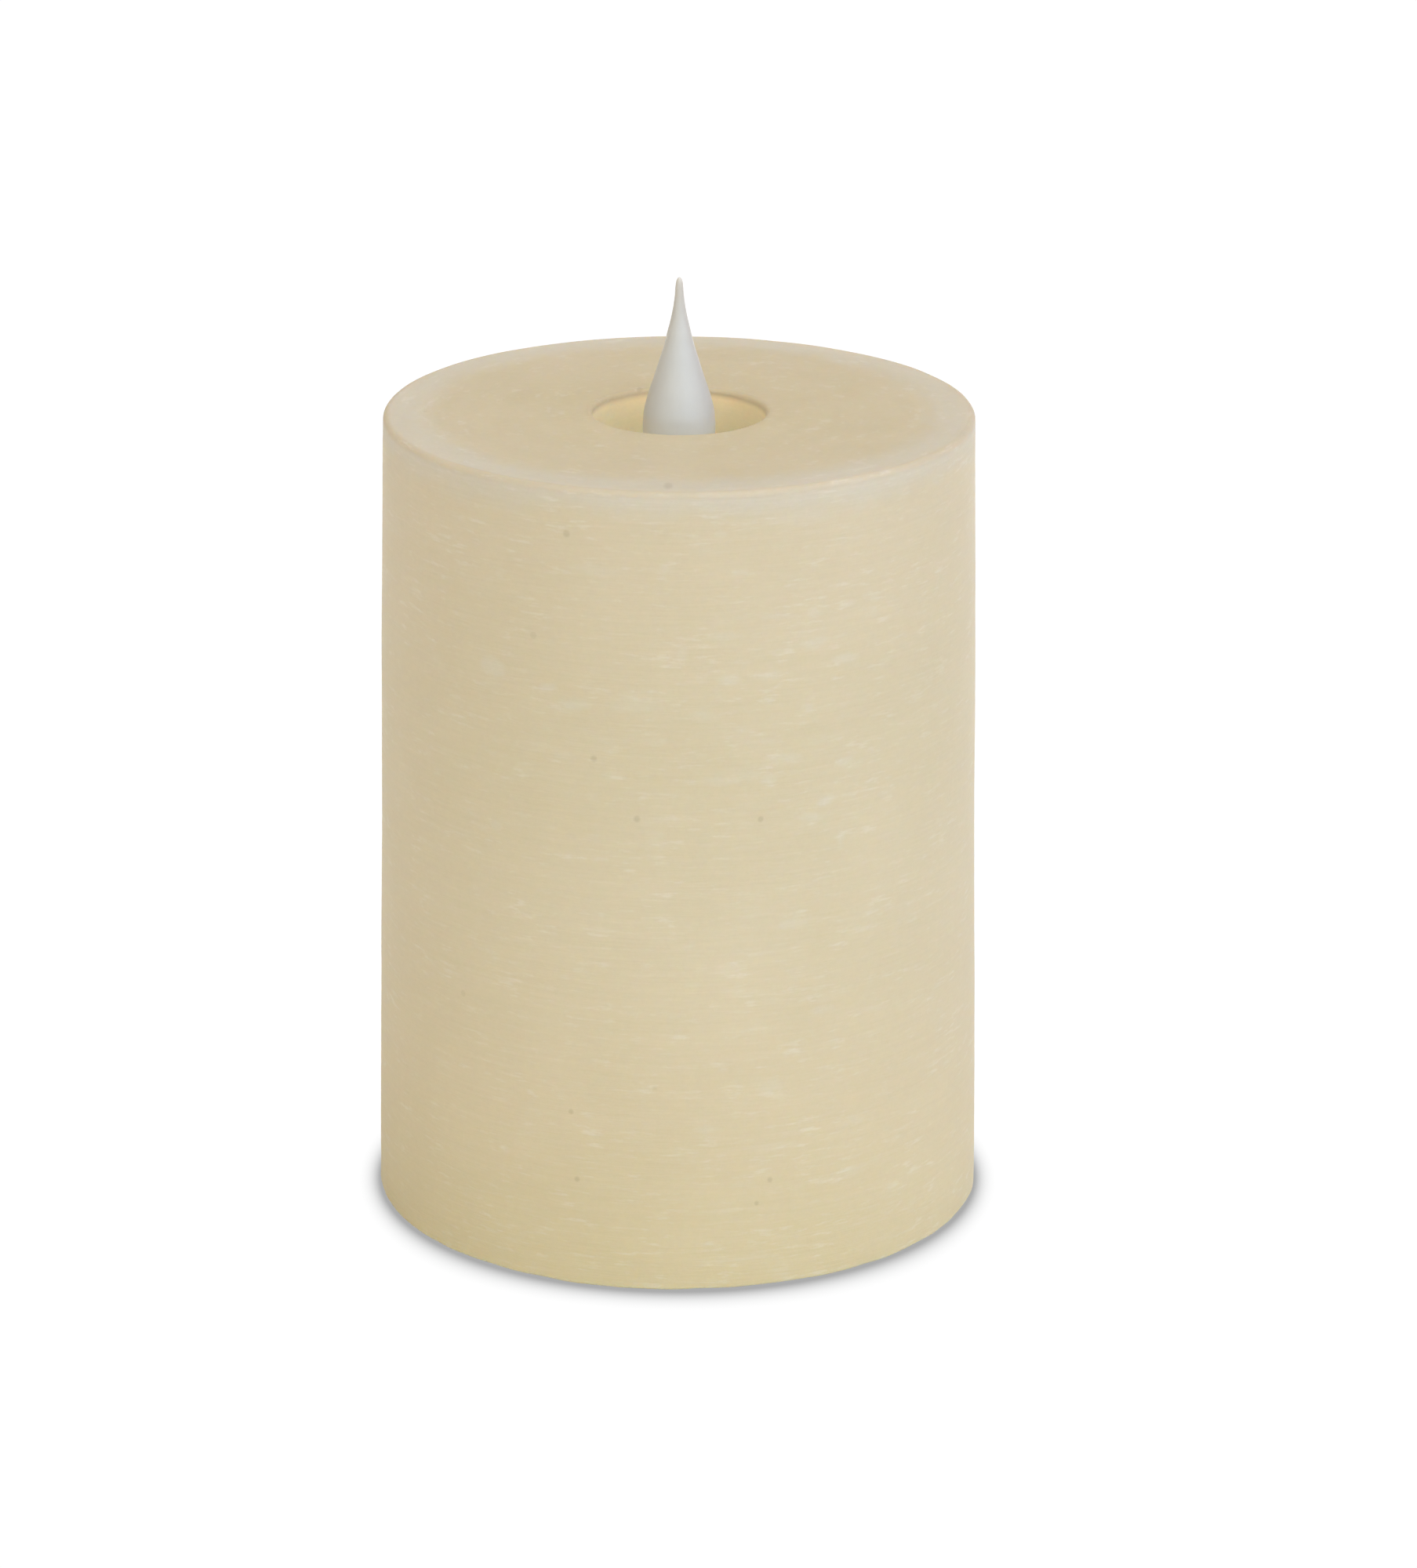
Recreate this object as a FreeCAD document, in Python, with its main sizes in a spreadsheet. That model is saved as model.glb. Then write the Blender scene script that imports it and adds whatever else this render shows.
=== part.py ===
import FreeCAD, Part
import math
import os
import Sketcher
from FreeCAD import Placement, Rotation, Vector

# Flameless LED pillar candle with a swinging flame.
# Millimetres.  Origin: centre of the foot ring, on the surface the candle
# stands on.  +Z up, -Y is the front, the battery cells lie along X.

doc = FreeCAD.newDocument("flameless_candle")

# ================================================================ sizes
# (alias, value, meaning)
SIZES = [
    # wax pillar
    ("wax_rad", 44.45, "outer radius of the wax pillar"),
    ("wax_top", 114.3, "height of the flat top of the wax"),
    ("wax_bot", 0.15, "lower edge of the wax above the table"),
    ("wax_wall", 5.5, "thickness of the wax wall"),
    ("wax_cap", 12.0, "thickness of the wax top"),
    ("well_rad", 12.95, "radius of the well round the flame"),
    ("shoulder", 0.9, "rounding of the top outer edge"),
    ("lip", 0.8, "rounding of the well edge"),
    ("hem", 0.5, "rounding of the bottom outer edge"),
    ("vault", 4.0, "rounding inside the cavity top"),
    # flame
    ("flame_rise", 19.92, "flame tip above the wax top"),
    ("flame_rad", 5.44, "largest radius of the flame"),
    ("flame_sink", 8.0, "flame foot below the wax top"),
    ("flame_bore", 4.35, "bore of the flame foot"),
    ("stem_rad", 1.3, "radius of the flame stem"),
    ("disc_rad", 4.3, "radius of the disc that carries the flame"),
    ("disc_len", 1.5, "thickness of the disc"),
    ("pierce_ring", 2.8, "circle of the holes in the disc"),
    ("pierce_rad", 0.8, "radius of the holes in the disc"),
    ("pivot_z", 103.0, "height of the pivot wire"),
    ("wire_rad", 0.3, "radius of the pivot wire"),
    ("wire_half", 11.9, "half length of the pivot wire"),
    ("pivot_hole", 0.36, "radius of the cross hole in the stem"),
    ("cup_rad", 3.5, "radius of the magnet cup"),
    ("cup_z", 85.4, "lower edge of the magnet cup"),
    ("magnet_rad", 3.0, "radius of the pendulum magnet"),
    ("magnet_len", 2.45, "thickness of the pendulum magnet"),
    ("magnet_gap", 0.05, "gap round the pendulum magnet"),
    # drive housing
    ("hous_rad", 17.0, "outer radius of the drive housing"),
    ("hous_wall", 1.6, "wall of the drive housing"),
    ("hous_floor", 2.0, "floor thickness of the drive housing"),
    ("hous_roof", 2.5, "roof thickness of the drive housing"),
    ("hous_top", 101.3, "top of the upper housing"),
    ("hous_split", 92.0, "joint between the housing halves"),
    ("hous_bot", 70.0, "underside of the lower housing"),
    ("funnel_rad", 12.4, "top radius of the light funnel"),
    ("throat_rad", 8.8, "throat radius of the light funnel"),
    ("pillar_in", 10.3, "near face of the wire pillars"),
    ("pillar_out", 12.3, "far face of the wire pillars"),
    ("ear_ring", 19.4, "radius of the housing screw circle"),
    ("ear_rad", 2.8, "radius of the housing screw ears"),
    ("ear_top", 2.5, "thickness of the upper housing ears"),
    ("ear_low", 4.0, "thickness of the lower housing ears"),
    ("led_board_z", 94.0, "underside of the LED board"),
    ("led_board_rad", 15.2, "radius of the LED board"),
    ("led_board_bore", 4.6, "bore of the LED board"),
    ("led_board_len", 1.0, "thickness of the LED board"),
    ("led_off", 7.6, "LED foot from the axis"),
    ("led_pin", 1.27, "LED pins from the LED middle"),
    ("led_tilt", 20.0, "inward tilt of each LED, degrees"),
    ("bobbin_z", 75.0, "underside of the coil bobbin"),
    ("bobbin_len", 9.4, "height of the coil bobbin"),
    ("bobbin_rad", 9.5, "flange radius of the coil bobbin"),
    ("bobbin_bore", 1.5, "bore of the coil bobbin"),
    ("core_rad", 3.5, "radius of the bobbin core"),
    # column
    ("col_rad", 9.0, "outer radius of the support column"),
    ("col_bore", 7.2, "bore of the support column"),
    ("flange_low", 19.5, "radius of the lower column flange"),
    ("flange_top", 15.5, "radius of the upper column flange"),
    ("flange_len", 2.0, "thickness of the column flanges"),
    ("low_screw", 16.0, "lower column screws from the axis"),
    ("top_screw", 12.2, "upper column screws from the axis"),
    # battery box
    ("box_len", 60.4, "outer length of the battery box"),
    ("box_wid", 33.2, "outer width of the battery box"),
    ("box_wall", 1.4, "wall of the battery box"),
    ("box_top", 20.6, "roof of the battery box"),
    ("cell_rad", 7.25, "radius of an AA cell"),
    ("cell_len", 50.5, "overall length of an AA cell"),
    ("cell_y", 7.5, "cell axis from the middle"),
    ("cell_z", 11.45, "height of the cell axes"),
    ("contact_len", 0.4, "thickness of the contact plates"),
    # base
    ("base_rad", 38.85, "outer radius of the base plate"),
    ("base_z", 1.0, "underside of the base plate"),
    ("base_len", 2.4, "thickness of the base plate"),
    ("rim_top", 8.0, "top of the glued rim"),
    ("rim_wall", 1.6, "wall of the glued rim"),
    ("foot_in", 34.6, "inner radius of the foot ring"),
    ("foot_out", 37.8, "outer radius of the foot ring"),
    ("boss_off", 20.86, "base screws from the axes"),
    ("boss_sink", 2.0, "depth of the base screw recesses"),
    ("boss_rise", 1.6, "raised pads round the base screws"),
    # battery door
    ("hinge_x", -31.5, "door hinge axis, across"),
    ("hinge_z", 2.3, "door hinge axis, height"),
    ("pin_rad", 0.8, "radius of the door hinge pins"),
    ("pin_hole", 0.86, "radius of the hinge pin holes"),
    ("tab_half", 5.9, "half width of the door hinge tab"),
    ("neck_x", -27.8, "hinge end of the wide door opening"),
    ("door_gap", 0.2, "gap round the battery door"),
    ("door_end", 28.6, "free end of the door opening"),
    ("door_half", 15.0, "half width of the door opening"),
    ("door_z", 1.2, "underside of the battery door"),
    ("door_len", 1.8, "thickness of the battery door"),
    # switch and board
    ("board_x", 16.0, "half length of the main board"),
    ("board_y", 18.5, "near edge of the main board"),
    ("board_wid", 14.0, "width of the main board"),
    ("board_z", 9.0, "underside of the main board"),
    ("pcb", 1.6, "thickness of the main board"),
    ("post_off", 13.0, "board posts from the middle"),
    ("switch_y", 25.5, "slide switch from the axis"),
    ("switch_rest", -2.0, "switch knob in its OFF position"),
    # screws and wires
    ("screw_rad", 1.05, "shank radius of the tapping screws"),
    ("screw_hole", 1.08, "pilot hole for the tapping screws"),
    ("screw_clear", 1.3, "clearance hole for the tapping screws"),
    ("board_screw", 0.9, "shank radius of the board screws"),
    ("board_pilot", 0.93, "pilot hole for the board screws"),
    ("spring_wire", 0.35, "radius of the contact spring wire"),
    ("spring_rad", 4.4, "radius of the widest spring turn"),
    ("lead_rad", 0.6, "radius of the battery leads"),
    ("fine_rad", 0.4, "radius of the fine leads"),
]
sheet = doc.addObject("Spreadsheet::Sheet", "Sizes")
for row, (alias, value, words) in enumerate(SIZES, start=1):
    sheet.set("A%d" % row, words)
    sheet.set("B%d" % row, str(value))
    sheet.setAlias("B%d" % row, alias)
doc.recompute()


class Dim(object):
    """A length that carries its number and the sheet expression behind it."""

    def __init__(self, num, txt):
        self.num = float(num)
        self.txt = txt

    def __add__(self, other):
        other = dim(other)
        return Dim(self.num + other.num, "(%s + %s)" % (self.txt, other.txt))

    def __sub__(self, other):
        other = dim(other)
        return Dim(self.num - other.num, "(%s - %s)" % (self.txt, other.txt))

    def __mul__(self, other):
        other = dim(other)
        return Dim(self.num * other.num, "(%s * %s)" % (self.txt, other.txt))

    def __rmul__(self, other):
        return dim(other) * self

    def __neg__(self):
        return Dim(0, "0") - self

    def tied(self):
        """True if the length depends on the sheet."""
        return "Sizes." in self.txt


def dim(value):
    if isinstance(value, Dim):
        return value
    return Dim(value, "%.6f" % value)


class Sizes(object):
    def __getattr__(self, alias):
        return Dim(getattr(sheet, alias), "Sizes." + alias)


size = Sizes()
nodes = []          # every piece, in building order

ADD, CUT = "Additive", "Subtractive"
SIDES = (-1, 1)
CORNERS = [(sx, sy) for sx in SIDES for sy in SIDES]
ABOUT_X, ABOUT_Y, ABOUT_Z = Vector(1, 0, 0), Vector(0, 1, 0), Vector(0, 0, 1)

# Levels and faces shared by several pieces
ceiling = size.wax_top - size.wax_cap               # roof of the wax cavity
cup_roof = size.cup_z + size.magnet_len + size.magnet_gap * 2
hous_bore = size.hous_rad - size.hous_wall
hous_floor = size.hous_bot + size.hous_floor        # top of the housing floor
bobbin_top = size.bobbin_z + size.bobbin_len
base_top = size.base_z + size.base_len
low_flange_top = size.box_top + size.flange_len
top_flange_z = size.hous_bot - size.flange_len
box_x, box_y = size.box_len * 0.5, size.box_wid * 0.5
plate_x = box_x - size.box_wall - 0.6               # cell side of the contact plates
board_top = size.board_z + size.pcb


# ================================================================ helpers
def plane(body, role):
    return [f for f in body.Origin.OriginFeatures if f.Role == role][0]


def bind(obj, prop, value):
    """Sets a length and ties it to the sheet."""
    value = dim(value)
    setattr(obj, prop, value.num)
    if value.tied():
        obj.setExpression(prop, value.txt)


def place(obj, at, turn=None, prop="Placement"):
    """Sets a placement, each coordinate tied to the sheet."""
    at = [dim(a) for a in at]
    setattr(obj, prop, Placement(Vector(*[a.num for a in at]), turn or Rotation()))
    for key, coord in zip("xyz", at):
        if coord.tied():
            obj.setExpression("%s.Base.%s" % (prop, key), coord.txt)


def attach(obj, body, role, at, turn=None):
    obj.AttachmentSupport = [(plane(body, role), "")]
    obj.MapMode = "FlatFace"
    place(obj, at, turn, "AttachmentOffset")


def span(one, other):
    """Two positions, the smaller first."""
    return sorted((dim(one), dim(other)), key=lambda d: d.num)


def new_body(label):
    body = doc.addObject("PartDesign::Body", label)
    body.Label = label
    nodes.append(body)
    return body


def primitive(body, kind, at, turn=None, **sizes):
    """An additive or subtractive primitive of the body."""
    feat = body.newObject("PartDesign::" + kind, body.Label + "_" + kind)
    attach(feat, body, "XY_Plane", at, turn)
    for key, value in sizes.items():
        bind(feat, key, value)
    return feat


def block(body, mode, x0, x1, y0, y1, z0, z1):
    """Box from corner to corner."""
    return primitive(body, mode + "Box", (x0, y0, z0), Length=dim(x1) - x0,
                     Width=dim(y1) - y0, Height=dim(z1) - z0)


def block_at(body, mode, x, y, half_x, half_y, z0, z1):
    """Box centred on x, y."""
    x, y = dim(x), dim(y)
    return block(body, mode, x - half_x, x + half_x, y - half_y, y + half_y, z0, z1)


def round_bar(body, mode, x, y, z0, z1, rad):
    """Upright cylinder from z0 to z1."""
    return primitive(body, mode + "Cylinder", (x, y, z0), Radius=rad, Height=dim(z1) - z0)


def cone(body, x, y, z0, z1, low_rad, top_rad):
    """Upright cone from z0 to z1."""
    return primitive(body, "AdditiveCone", (x, y, z0), Radius1=low_rad, Radius2=top_rad,
                     Height=dim(z1) - z0)


def cross_bar(body, mode, x, z, half, rad):
    """Cylinder lying along Y, centred on the XZ plane."""
    half = dim(half)
    return primitive(body, mode + "Cylinder", (x, -half, z), Rotation(ABOUT_X, -90),
                     Radius=rad, Height=half * 2)


def sketch(body, role, points, at=(0, 0, 0)):
    """Sketch of a closed outline; every corner is placed from the sheet."""
    sk = body.newObject("Sketcher::SketchObject", body.Label + "_sketch")
    attach(sk, body, role, at)
    points = [(dim(x), dim(y)) for x, y in points]
    count = len(points)
    for i, (x, y) in enumerate(points):
        next_x, next_y = points[(i + 1) % count]
        sk.addGeometry(Part.LineSegment(Vector(x.num, y.num, 0),
                                        Vector(next_x.num, next_y.num, 0)), False)
    for i in range(count):
        sk.addConstraint(Sketcher.Constraint("Coincident", i, 2, (i + 1) % count, 1))
    for i, (x, y) in enumerate(points):
        for kind, coord in (("DistanceX", x), ("DistanceY", y)):
            index = sk.addConstraint(Sketcher.Constraint(kind, -1, 1, i, 1, coord.num))
            if coord.tied():
                sk.setExpression("Constraints[%d]" % index, coord.txt)
    return sk


def lathe(body, points):
    """Turned shape: outline of (radius, height) about the upright axis."""
    sk = sketch(body, "XZ_Plane", points)
    turned = body.newObject("PartDesign::Revolution", body.Label + "_turned")
    turned.Profile = sk
    turned.ReferenceAxis = (sk, ["V_Axis"])
    turned.Angle = 360


def polar(body, feats, count):
    """Repeats features evenly about the upright axis."""
    pattern = body.newObject("PartDesign::PolarPattern", body.Label + "_polar")
    pattern.Originals = feats
    pattern.Axis = (plane(body, "Z_Axis"), [""])
    pattern.Angle = 360
    pattern.Occurrences = count
    body.Tip = pattern


def circle_edges(shape, rad, z, tol=0.01):
    """Names of the full-circle edges with this radius at this height."""
    names = []
    for i, edge in enumerate(shape.Edges):
        if edge.Curve.TypeId == "Part::GeomCircle" and len(edge.Vertexes) <= 1:
            curve = edge.Curve
            if abs(curve.Radius - rad) < tol and abs(curve.Center.z - z) < tol:
                names.append("Edge%d" % (i + 1))
    return names


def soften(body, rad, z, rounding):
    """Fillets the circle of radius rad at height z on the present tip."""
    doc.recompute()
    base = body.Tip
    names = circle_edges(body.Shape, rad.num, z.num)
    fillet = body.newObject("PartDesign::Fillet", body.Label + "_fillet")
    fillet.Base = (base, names)
    bind(fillet, "Radius", rounding)
    body.Tip = fillet


def screw(body, x, y, seat, length, down=True, head=2.0, head_len=1.4, rad=size.screw_rad):
    """Pan-head cross-slotted screw: head seat at seat, shank pointing down or up."""
    tip_len, tip_rad = 1.2, 0.3
    rim_len = head_len * 0.65           # straight part of the head
    arm, web = head * 0.55, 0.25        # half length and half width of the slots
    way = -1 if down else 1

    # Distances run from the seat along the shank; the head is on the minus side.
    def levels(near, far):
        return span(seat + way * near, seat + way * far)

    def bar(near, far, bar_rad):
        return round_bar(body, ADD, x, y, *levels(near, far), bar_rad)

    def taper(near, far, near_rad, far_rad):
        radii = (far_rad, near_rad) if down else (near_rad, far_rad)
        return cone(body, x, y, *levels(near, far), *radii)

    slot = levels(-head_len - 0.2, 0.75 - head_len)
    return [bar(-0.1, length - tip_len, rad),
            taper(length - tip_len, length, rad, tip_rad),
            bar(-rim_len, 0, head),
            taper(-head_len, -rim_len, head * 0.7, head),
            block_at(body, CUT, x, y, arm, web, *slot),
            block_at(body, CUT, x, y, web, arm, *slot)]


def swept(label, runs, rad, pieces=1):
    """Round wires of radius rad, each along a smooth path of points.

    The path is split into the given number of pieces for the sweep."""
    tubes = []
    for path in runs:
        points = [Vector(*p) for p in path]
        curve = Part.BSplineCurve()
        curve.interpolate(points)
        first, last = curve.FirstParameter, curve.LastParameter
        edge = curve.toShape()
        cuts = [first + (last - first) * k / pieces for k in range(1, pieces)]
        spine = edge.split(cuts) if cuts else Part.Wire([edge])
        section = Part.Circle(points[0], curve.tangent(first)[0], rad.num)
        tube = spine.makePipeShell([Part.Wire([section.toShape()])], True, True)
        if tube.ShapeType != "Solid":
            tube = Part.Solid(tube.Shells[0])
        tubes.append(tube)
    feat = doc.addObject("Part::Feature", label)
    feat.Label = label
    feat.Shape = tubes[0] if len(tubes) == 1 else Part.Compound(tubes)
    nodes.append(feat)
    return feat


# ================================================================ wax pillar
wax = new_body("wax_shell")
wax_in = size.wax_rad - size.wax_wall
lathe(wax, [(size.well_rad, ceiling), (wax_in, ceiling), (wax_in, size.wax_bot),
            (size.wax_rad, size.wax_bot), (size.wax_rad, size.wax_top),
            (size.well_rad, size.wax_top)])
soften(wax, size.wax_rad, size.wax_top, size.shoulder)
soften(wax, size.well_rad, size.wax_top, size.lip)
soften(wax, size.wax_rad, size.wax_bot, size.hem)
soften(wax, wax_in, ceiling, size.vault)

# ================================================================ flame group
# Hollow teardrop above the wax top, from the axis outward:
# (radius as a fraction of flame_rad, height as a fraction of flame_rise)
FLAME_OUTER = [
    (0.000, 1.0000), (0.066, 0.9840), (0.099, 0.9488), (0.113, 0.9026), (0.127, 0.8555),
    (0.150, 0.8082), (0.180, 0.7610), (0.214, 0.7129), (0.252, 0.6677), (0.299, 0.6175),
    (0.392, 0.5110), (0.546, 0.3830), (0.691, 0.2550), (0.855, 0.1270), (0.972, 0.0000)]
FLAME_INNER = [
    (0.000, 0.5120), (0.110, 0.5010), (0.230, 0.4520), (0.385, 0.3620), (0.540, 0.2500),
    (0.700, 0.1250), (0.822, 0.0000)]
flame_foot = size.wax_top - size.flame_sink


def flame_points(table):
    return [(size.flame_rad * r, size.wax_top + size.flame_rise * t) for r, t in table]


flame = new_body("flame_shell")
skirt = [(size.flame_rad, size.wax_top - 2.56),
         (size.flame_rad * 0.998, size.wax_top - 4.0),
         (size.flame_rad * 0.962, size.wax_top - 6.0),
         (size.flame_rad * 0.904, flame_foot),
         (size.flame_bore, flame_foot),
         (size.flame_bore, flame_foot + 2.1),
         (size.flame_rad * 0.85, size.wax_top - 3.2)]
lathe(flame, flame_points(FLAME_OUTER) + skirt + flame_points(reversed(FLAME_INNER)))

# Stem: carries the flame on a pierced disc, turns on the wire, ends in a cup.
stem = new_body("flame_stem")
disc_top = flame_foot + 2.0
disc_bot = disc_top - size.disc_len
cup_bore = size.magnet_rad + size.magnet_gap
lathe(stem, [(0, disc_top + 1.8), (size.stem_rad, disc_top + 1.8), (size.stem_rad, disc_top),
             (size.disc_rad, disc_top), (size.disc_rad, disc_bot),
             (size.stem_rad, disc_bot), (size.stem_rad, size.cup_z + 4.2),
             (size.cup_rad, size.cup_z + 3.2), (size.cup_rad, size.cup_z),
             (cup_bore, size.cup_z), (cup_bore, cup_roof), (0, cup_roof)])
pierce = round_bar(stem, CUT, size.pierce_ring, 0, disc_bot - 1, disc_top + 1,
                   size.pierce_rad)
polar(stem, [pierce], 6)
cross_bar(stem, CUT, 0, size.pivot_z, 3, size.pivot_hole)

magnet = new_body("pendulum_magnet")
magnet_z = size.cup_z + size.magnet_gap
round_bar(magnet, ADD, 0, 0, magnet_z, magnet_z + size.magnet_len, size.magnet_rad)

pivot_wire = new_body("pivot_wire")
cross_bar(pivot_wire, ADD, 0, size.pivot_z, size.wire_half, size.wire_rad)

# ================================================================ drive housing
# Upper half: roof with the light funnel, screw ears, inner ribs and the two
# notched pillars, front and back, that hold the pivot wire.
upper = new_body("housing_upper")
roof_z = size.hous_top - size.hous_roof
lathe(upper, [(size.throat_rad, roof_z), (hous_bore, roof_z),
              (hous_bore, size.hous_split), (size.hous_rad, size.hous_split),
              (size.hous_rad, size.hous_top), (size.funnel_rad, size.hous_top),
              (size.throat_rad, size.hous_top - 1.0)])
ear_top = size.hous_split + size.ear_top
ear = round_bar(upper, ADD, 0, -size.ear_ring, size.hous_split, ear_top, size.ear_rad)
polar(upper, [ear], 3)
hole = round_bar(upper, CUT, 0, -size.ear_ring, size.hous_split - 1, ear_top + 1.5,
                 size.screw_clear)
polar(upper, [hole], 3)
rib = block(upper, ADD, 12.8, hous_bore + 0.5, -0.6, 0.6,
            size.led_board_z + size.led_board_len + 0.05, size.hous_top - 2.0)
polar(upper, [rib], 4)
for side in SIDES:
    near, far = span(side * size.pillar_in, side * size.pillar_out)
    block(upper, ADD, -1.5, 1.5, near, far, size.hous_top - 1.6, size.pivot_z + 1.2)
    block(upper, CUT, -0.35, 0.35, near - 0.5, far + 0.5, size.pivot_z - 0.32,
          size.pivot_z + 2)

gasket = new_body("housing_gasket")
gasket_in, gasket_out = size.funnel_rad + 0.9, size.hous_rad - 0.2
lathe(gasket, [(gasket_in, size.hous_top), (gasket_out, size.hous_top),
               (gasket_out, ceiling), (gasket_in, ceiling)])

# Lower half: ledge for the LED board, bobbin post with its spigot, bosses for
# the column screws, screw ears and a hole for the leads.
lower = new_body("housing_lower")
lathe(lower, [(0, size.hous_bot), (size.hous_rad, size.hous_bot),
              (size.hous_rad, size.hous_split), (hous_bore - 0.05, size.hous_split),
              (hous_bore - 0.05, size.led_board_z), (hous_bore - 1.6, size.led_board_z),
              (hous_bore - 1.6, size.hous_split - 1.5), (hous_bore, size.hous_split - 3.1),
              (hous_bore, hous_floor), (0, hous_floor)])
round_bar(lower, ADD, 0, 0, hous_floor - 0.5, size.bobbin_z, 3.2)
round_bar(lower, ADD, 0, 0, size.bobbin_z - 0.5, size.bobbin_z + 5, size.bobbin_bore - 0.05)
for side in SIDES:
    round_bar(lower, ADD, side * size.top_screw, 0, hous_floor - 0.5, hous_floor + 4.0, 2.0)
for side in SIDES:
    round_bar(lower, CUT, side * size.top_screw, 0, size.hous_bot - 1, hous_floor + 3.5,
              size.screw_hole)
ear_bot = size.hous_split - size.ear_low
ear = round_bar(lower, ADD, 0, -size.ear_ring, ear_bot, size.hous_split, size.ear_rad)
polar(lower, [ear], 3)
hole = round_bar(lower, CUT, 0, -size.ear_ring, ear_bot - 1, size.hous_split + 1,
                 size.screw_hole)
polar(lower, [hole], 3)
round_bar(lower, CUT, 0, 5.8, size.hous_bot - 1, hous_floor + 1, 2.4)

hous_screws = new_body("housing_screws")
polar(hous_screws, screw(hous_screws, 0, -size.ear_ring, ear_top, 6.0), 3)

led_board = new_body("led_board")
led_board_top = size.led_board_z + size.led_board_len
lathe(led_board, [(size.led_board_bore, size.led_board_z),
                  (size.led_board_rad, size.led_board_z),
                  (size.led_board_rad, led_board_top), (size.led_board_bore, led_board_top)])
for sx, sy in CORNERS:
    round_bar(led_board, CUT, sx * (size.led_off + 0.4), sy * size.led_pin,
              size.led_board_z - 1, led_board_top + 1, 0.45)

# (radius, height) of an LED above its foot: collar, barrel, dome
LED_OUTLINE = [(0, 0), (1.9, 0), (1.9, 1.0), (1.5, 1.0), (1.5, 3.8), (1.44, 4.3),
               (1.28, 4.68), (1.0, 5.0), (0.6, 5.22), (0, 5.3)]


def led(label, side):
    """Domed 3 mm LED leaning in towards the flame."""
    body = new_body(label)
    lathe(body, LED_OUTLINE)
    for sy in SIDES:
        round_bar(body, ADD, 0, sy * size.led_pin, -1.2, 0.5, 0.25)
    place(body, (side * size.led_off, 0, size.led_board_z + 2.3),
          Rotation(ABOUT_Y, -side * size.led_tilt.num))


led("led_left", -1)
led("led_right", 1)

bobbin = new_body("coil_bobbin")
lathe(bobbin, [(size.bobbin_bore, size.bobbin_z), (size.bobbin_rad, size.bobbin_z),
               (size.bobbin_rad, size.bobbin_z + 1), (size.core_rad, size.bobbin_z + 1),
               (size.core_rad, bobbin_top - 1), (size.bobbin_rad, bobbin_top - 1),
               (size.bobbin_rad, bobbin_top), (size.bobbin_bore, bobbin_top)])

# The winding bulges slightly at mid height.
winding = new_body("coil_winding")
coil_in, coil_out = size.core_rad + 0.02, size.bobbin_rad - 0.9
coil_bot, coil_top = size.bobbin_z + 1.02, bobbin_top - 1.02
lathe(winding, [(coil_in, coil_bot), (coil_out, coil_bot),
                (size.bobbin_rad - 0.6, size.bobbin_z + size.bobbin_len * 0.5),
                (coil_out, coil_top), (coil_in, coil_top)])

# ================================================================ support column
column = new_body("support_column")
lathe(column, [(size.col_bore, size.box_top), (size.flange_low, size.box_top),
               (size.flange_low, low_flange_top), (size.col_rad, low_flange_top),
               (size.col_rad, top_flange_z), (size.flange_top, top_flange_z),
               (size.flange_top, size.hous_bot), (size.col_bore, size.hous_bot)])
for side in SIDES:
    round_bar(column, CUT, side * size.low_screw, 0, size.box_top - 1, low_flange_top + 1,
              size.screw_clear)
    round_bar(column, CUT, side * size.top_screw, 0, top_flange_z - 1, size.hous_bot + 1,
              size.screw_clear)
# Four gussets on the diagonals; the root starts 0.8 inside the column wall.
gusset_root = (size.col_rad - 0.8) * 0.70711
gusset = primitive(column, "AdditiveBox",
                   (gusset_root + 0.57, gusset_root - 0.57, low_flange_top - 0.5),
                   Rotation(ABOUT_Z, 45),
                   Length=size.flange_low - size.col_rad - 4.7, Width=1.6, Height=10)
polar(column, [gusset], 4)
# window for the leads, at the back
block(column, CUT, -3, 3, size.col_rad - 3.5, size.col_rad + 1, size.box_top + 3.6,
      size.box_top + 17)

col_screws = new_body("column_screws")
for side in SIDES:
    screw(col_screws, side * size.low_screw, 0, low_flange_top, 5.4)
    screw(col_screws, side * size.top_screw, 0, top_flange_z, 5.4, down=False)

# ================================================================ battery box
# Open below, with a rib between the cells, column screw bosses under the roof
# and four outside bosses for the base screws.
box = new_body("battery_box")
boss_bot = base_top + size.boss_rise
block(box, ADD, -box_x, box_x, -box_y, box_y, base_top, size.box_top)
block_at(box, CUT, 0, 0, box_x - size.box_wall, box_y - size.box_wall,
         base_top - 1, size.box_top - size.box_wall)
block(box, ADD, -22, 22, -0.5, 0.5, 15.2, size.box_top - 1)
for side in SIDES:
    round_bar(box, ADD, side * size.low_screw, 0, 17.0, size.box_top - 1, 2.2)
for side in SIDES:
    round_bar(box, CUT, side * size.low_screw, 0, 16.0, size.box_top + 1, size.screw_hole)
for sx, sy in CORNERS:
    boss_x = sx * size.boss_off
    round_bar(box, ADD, boss_x, sy * size.boss_off, boss_bot, 14.0, 2.8)
    block(box, ADD, boss_x - 0.9, boss_x + 0.9,
          *span(sy * (box_y - 0.8), sy * size.boss_off), boss_bot, 12.5)
for sx, sy in CORNERS:
    round_bar(box, CUT, sx * size.boss_off, sy * size.boss_off, base_top, 13.0,
              size.screw_hole)
for sy in SIDES:      # slots for the two solder tails
    block(box, CUT, box_x - 2.4, box_x - size.box_wall, sy * size.cell_y - 1.6,
          sy * size.cell_y + 1.6, size.box_top - 2.4, size.box_top + 1)


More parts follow.
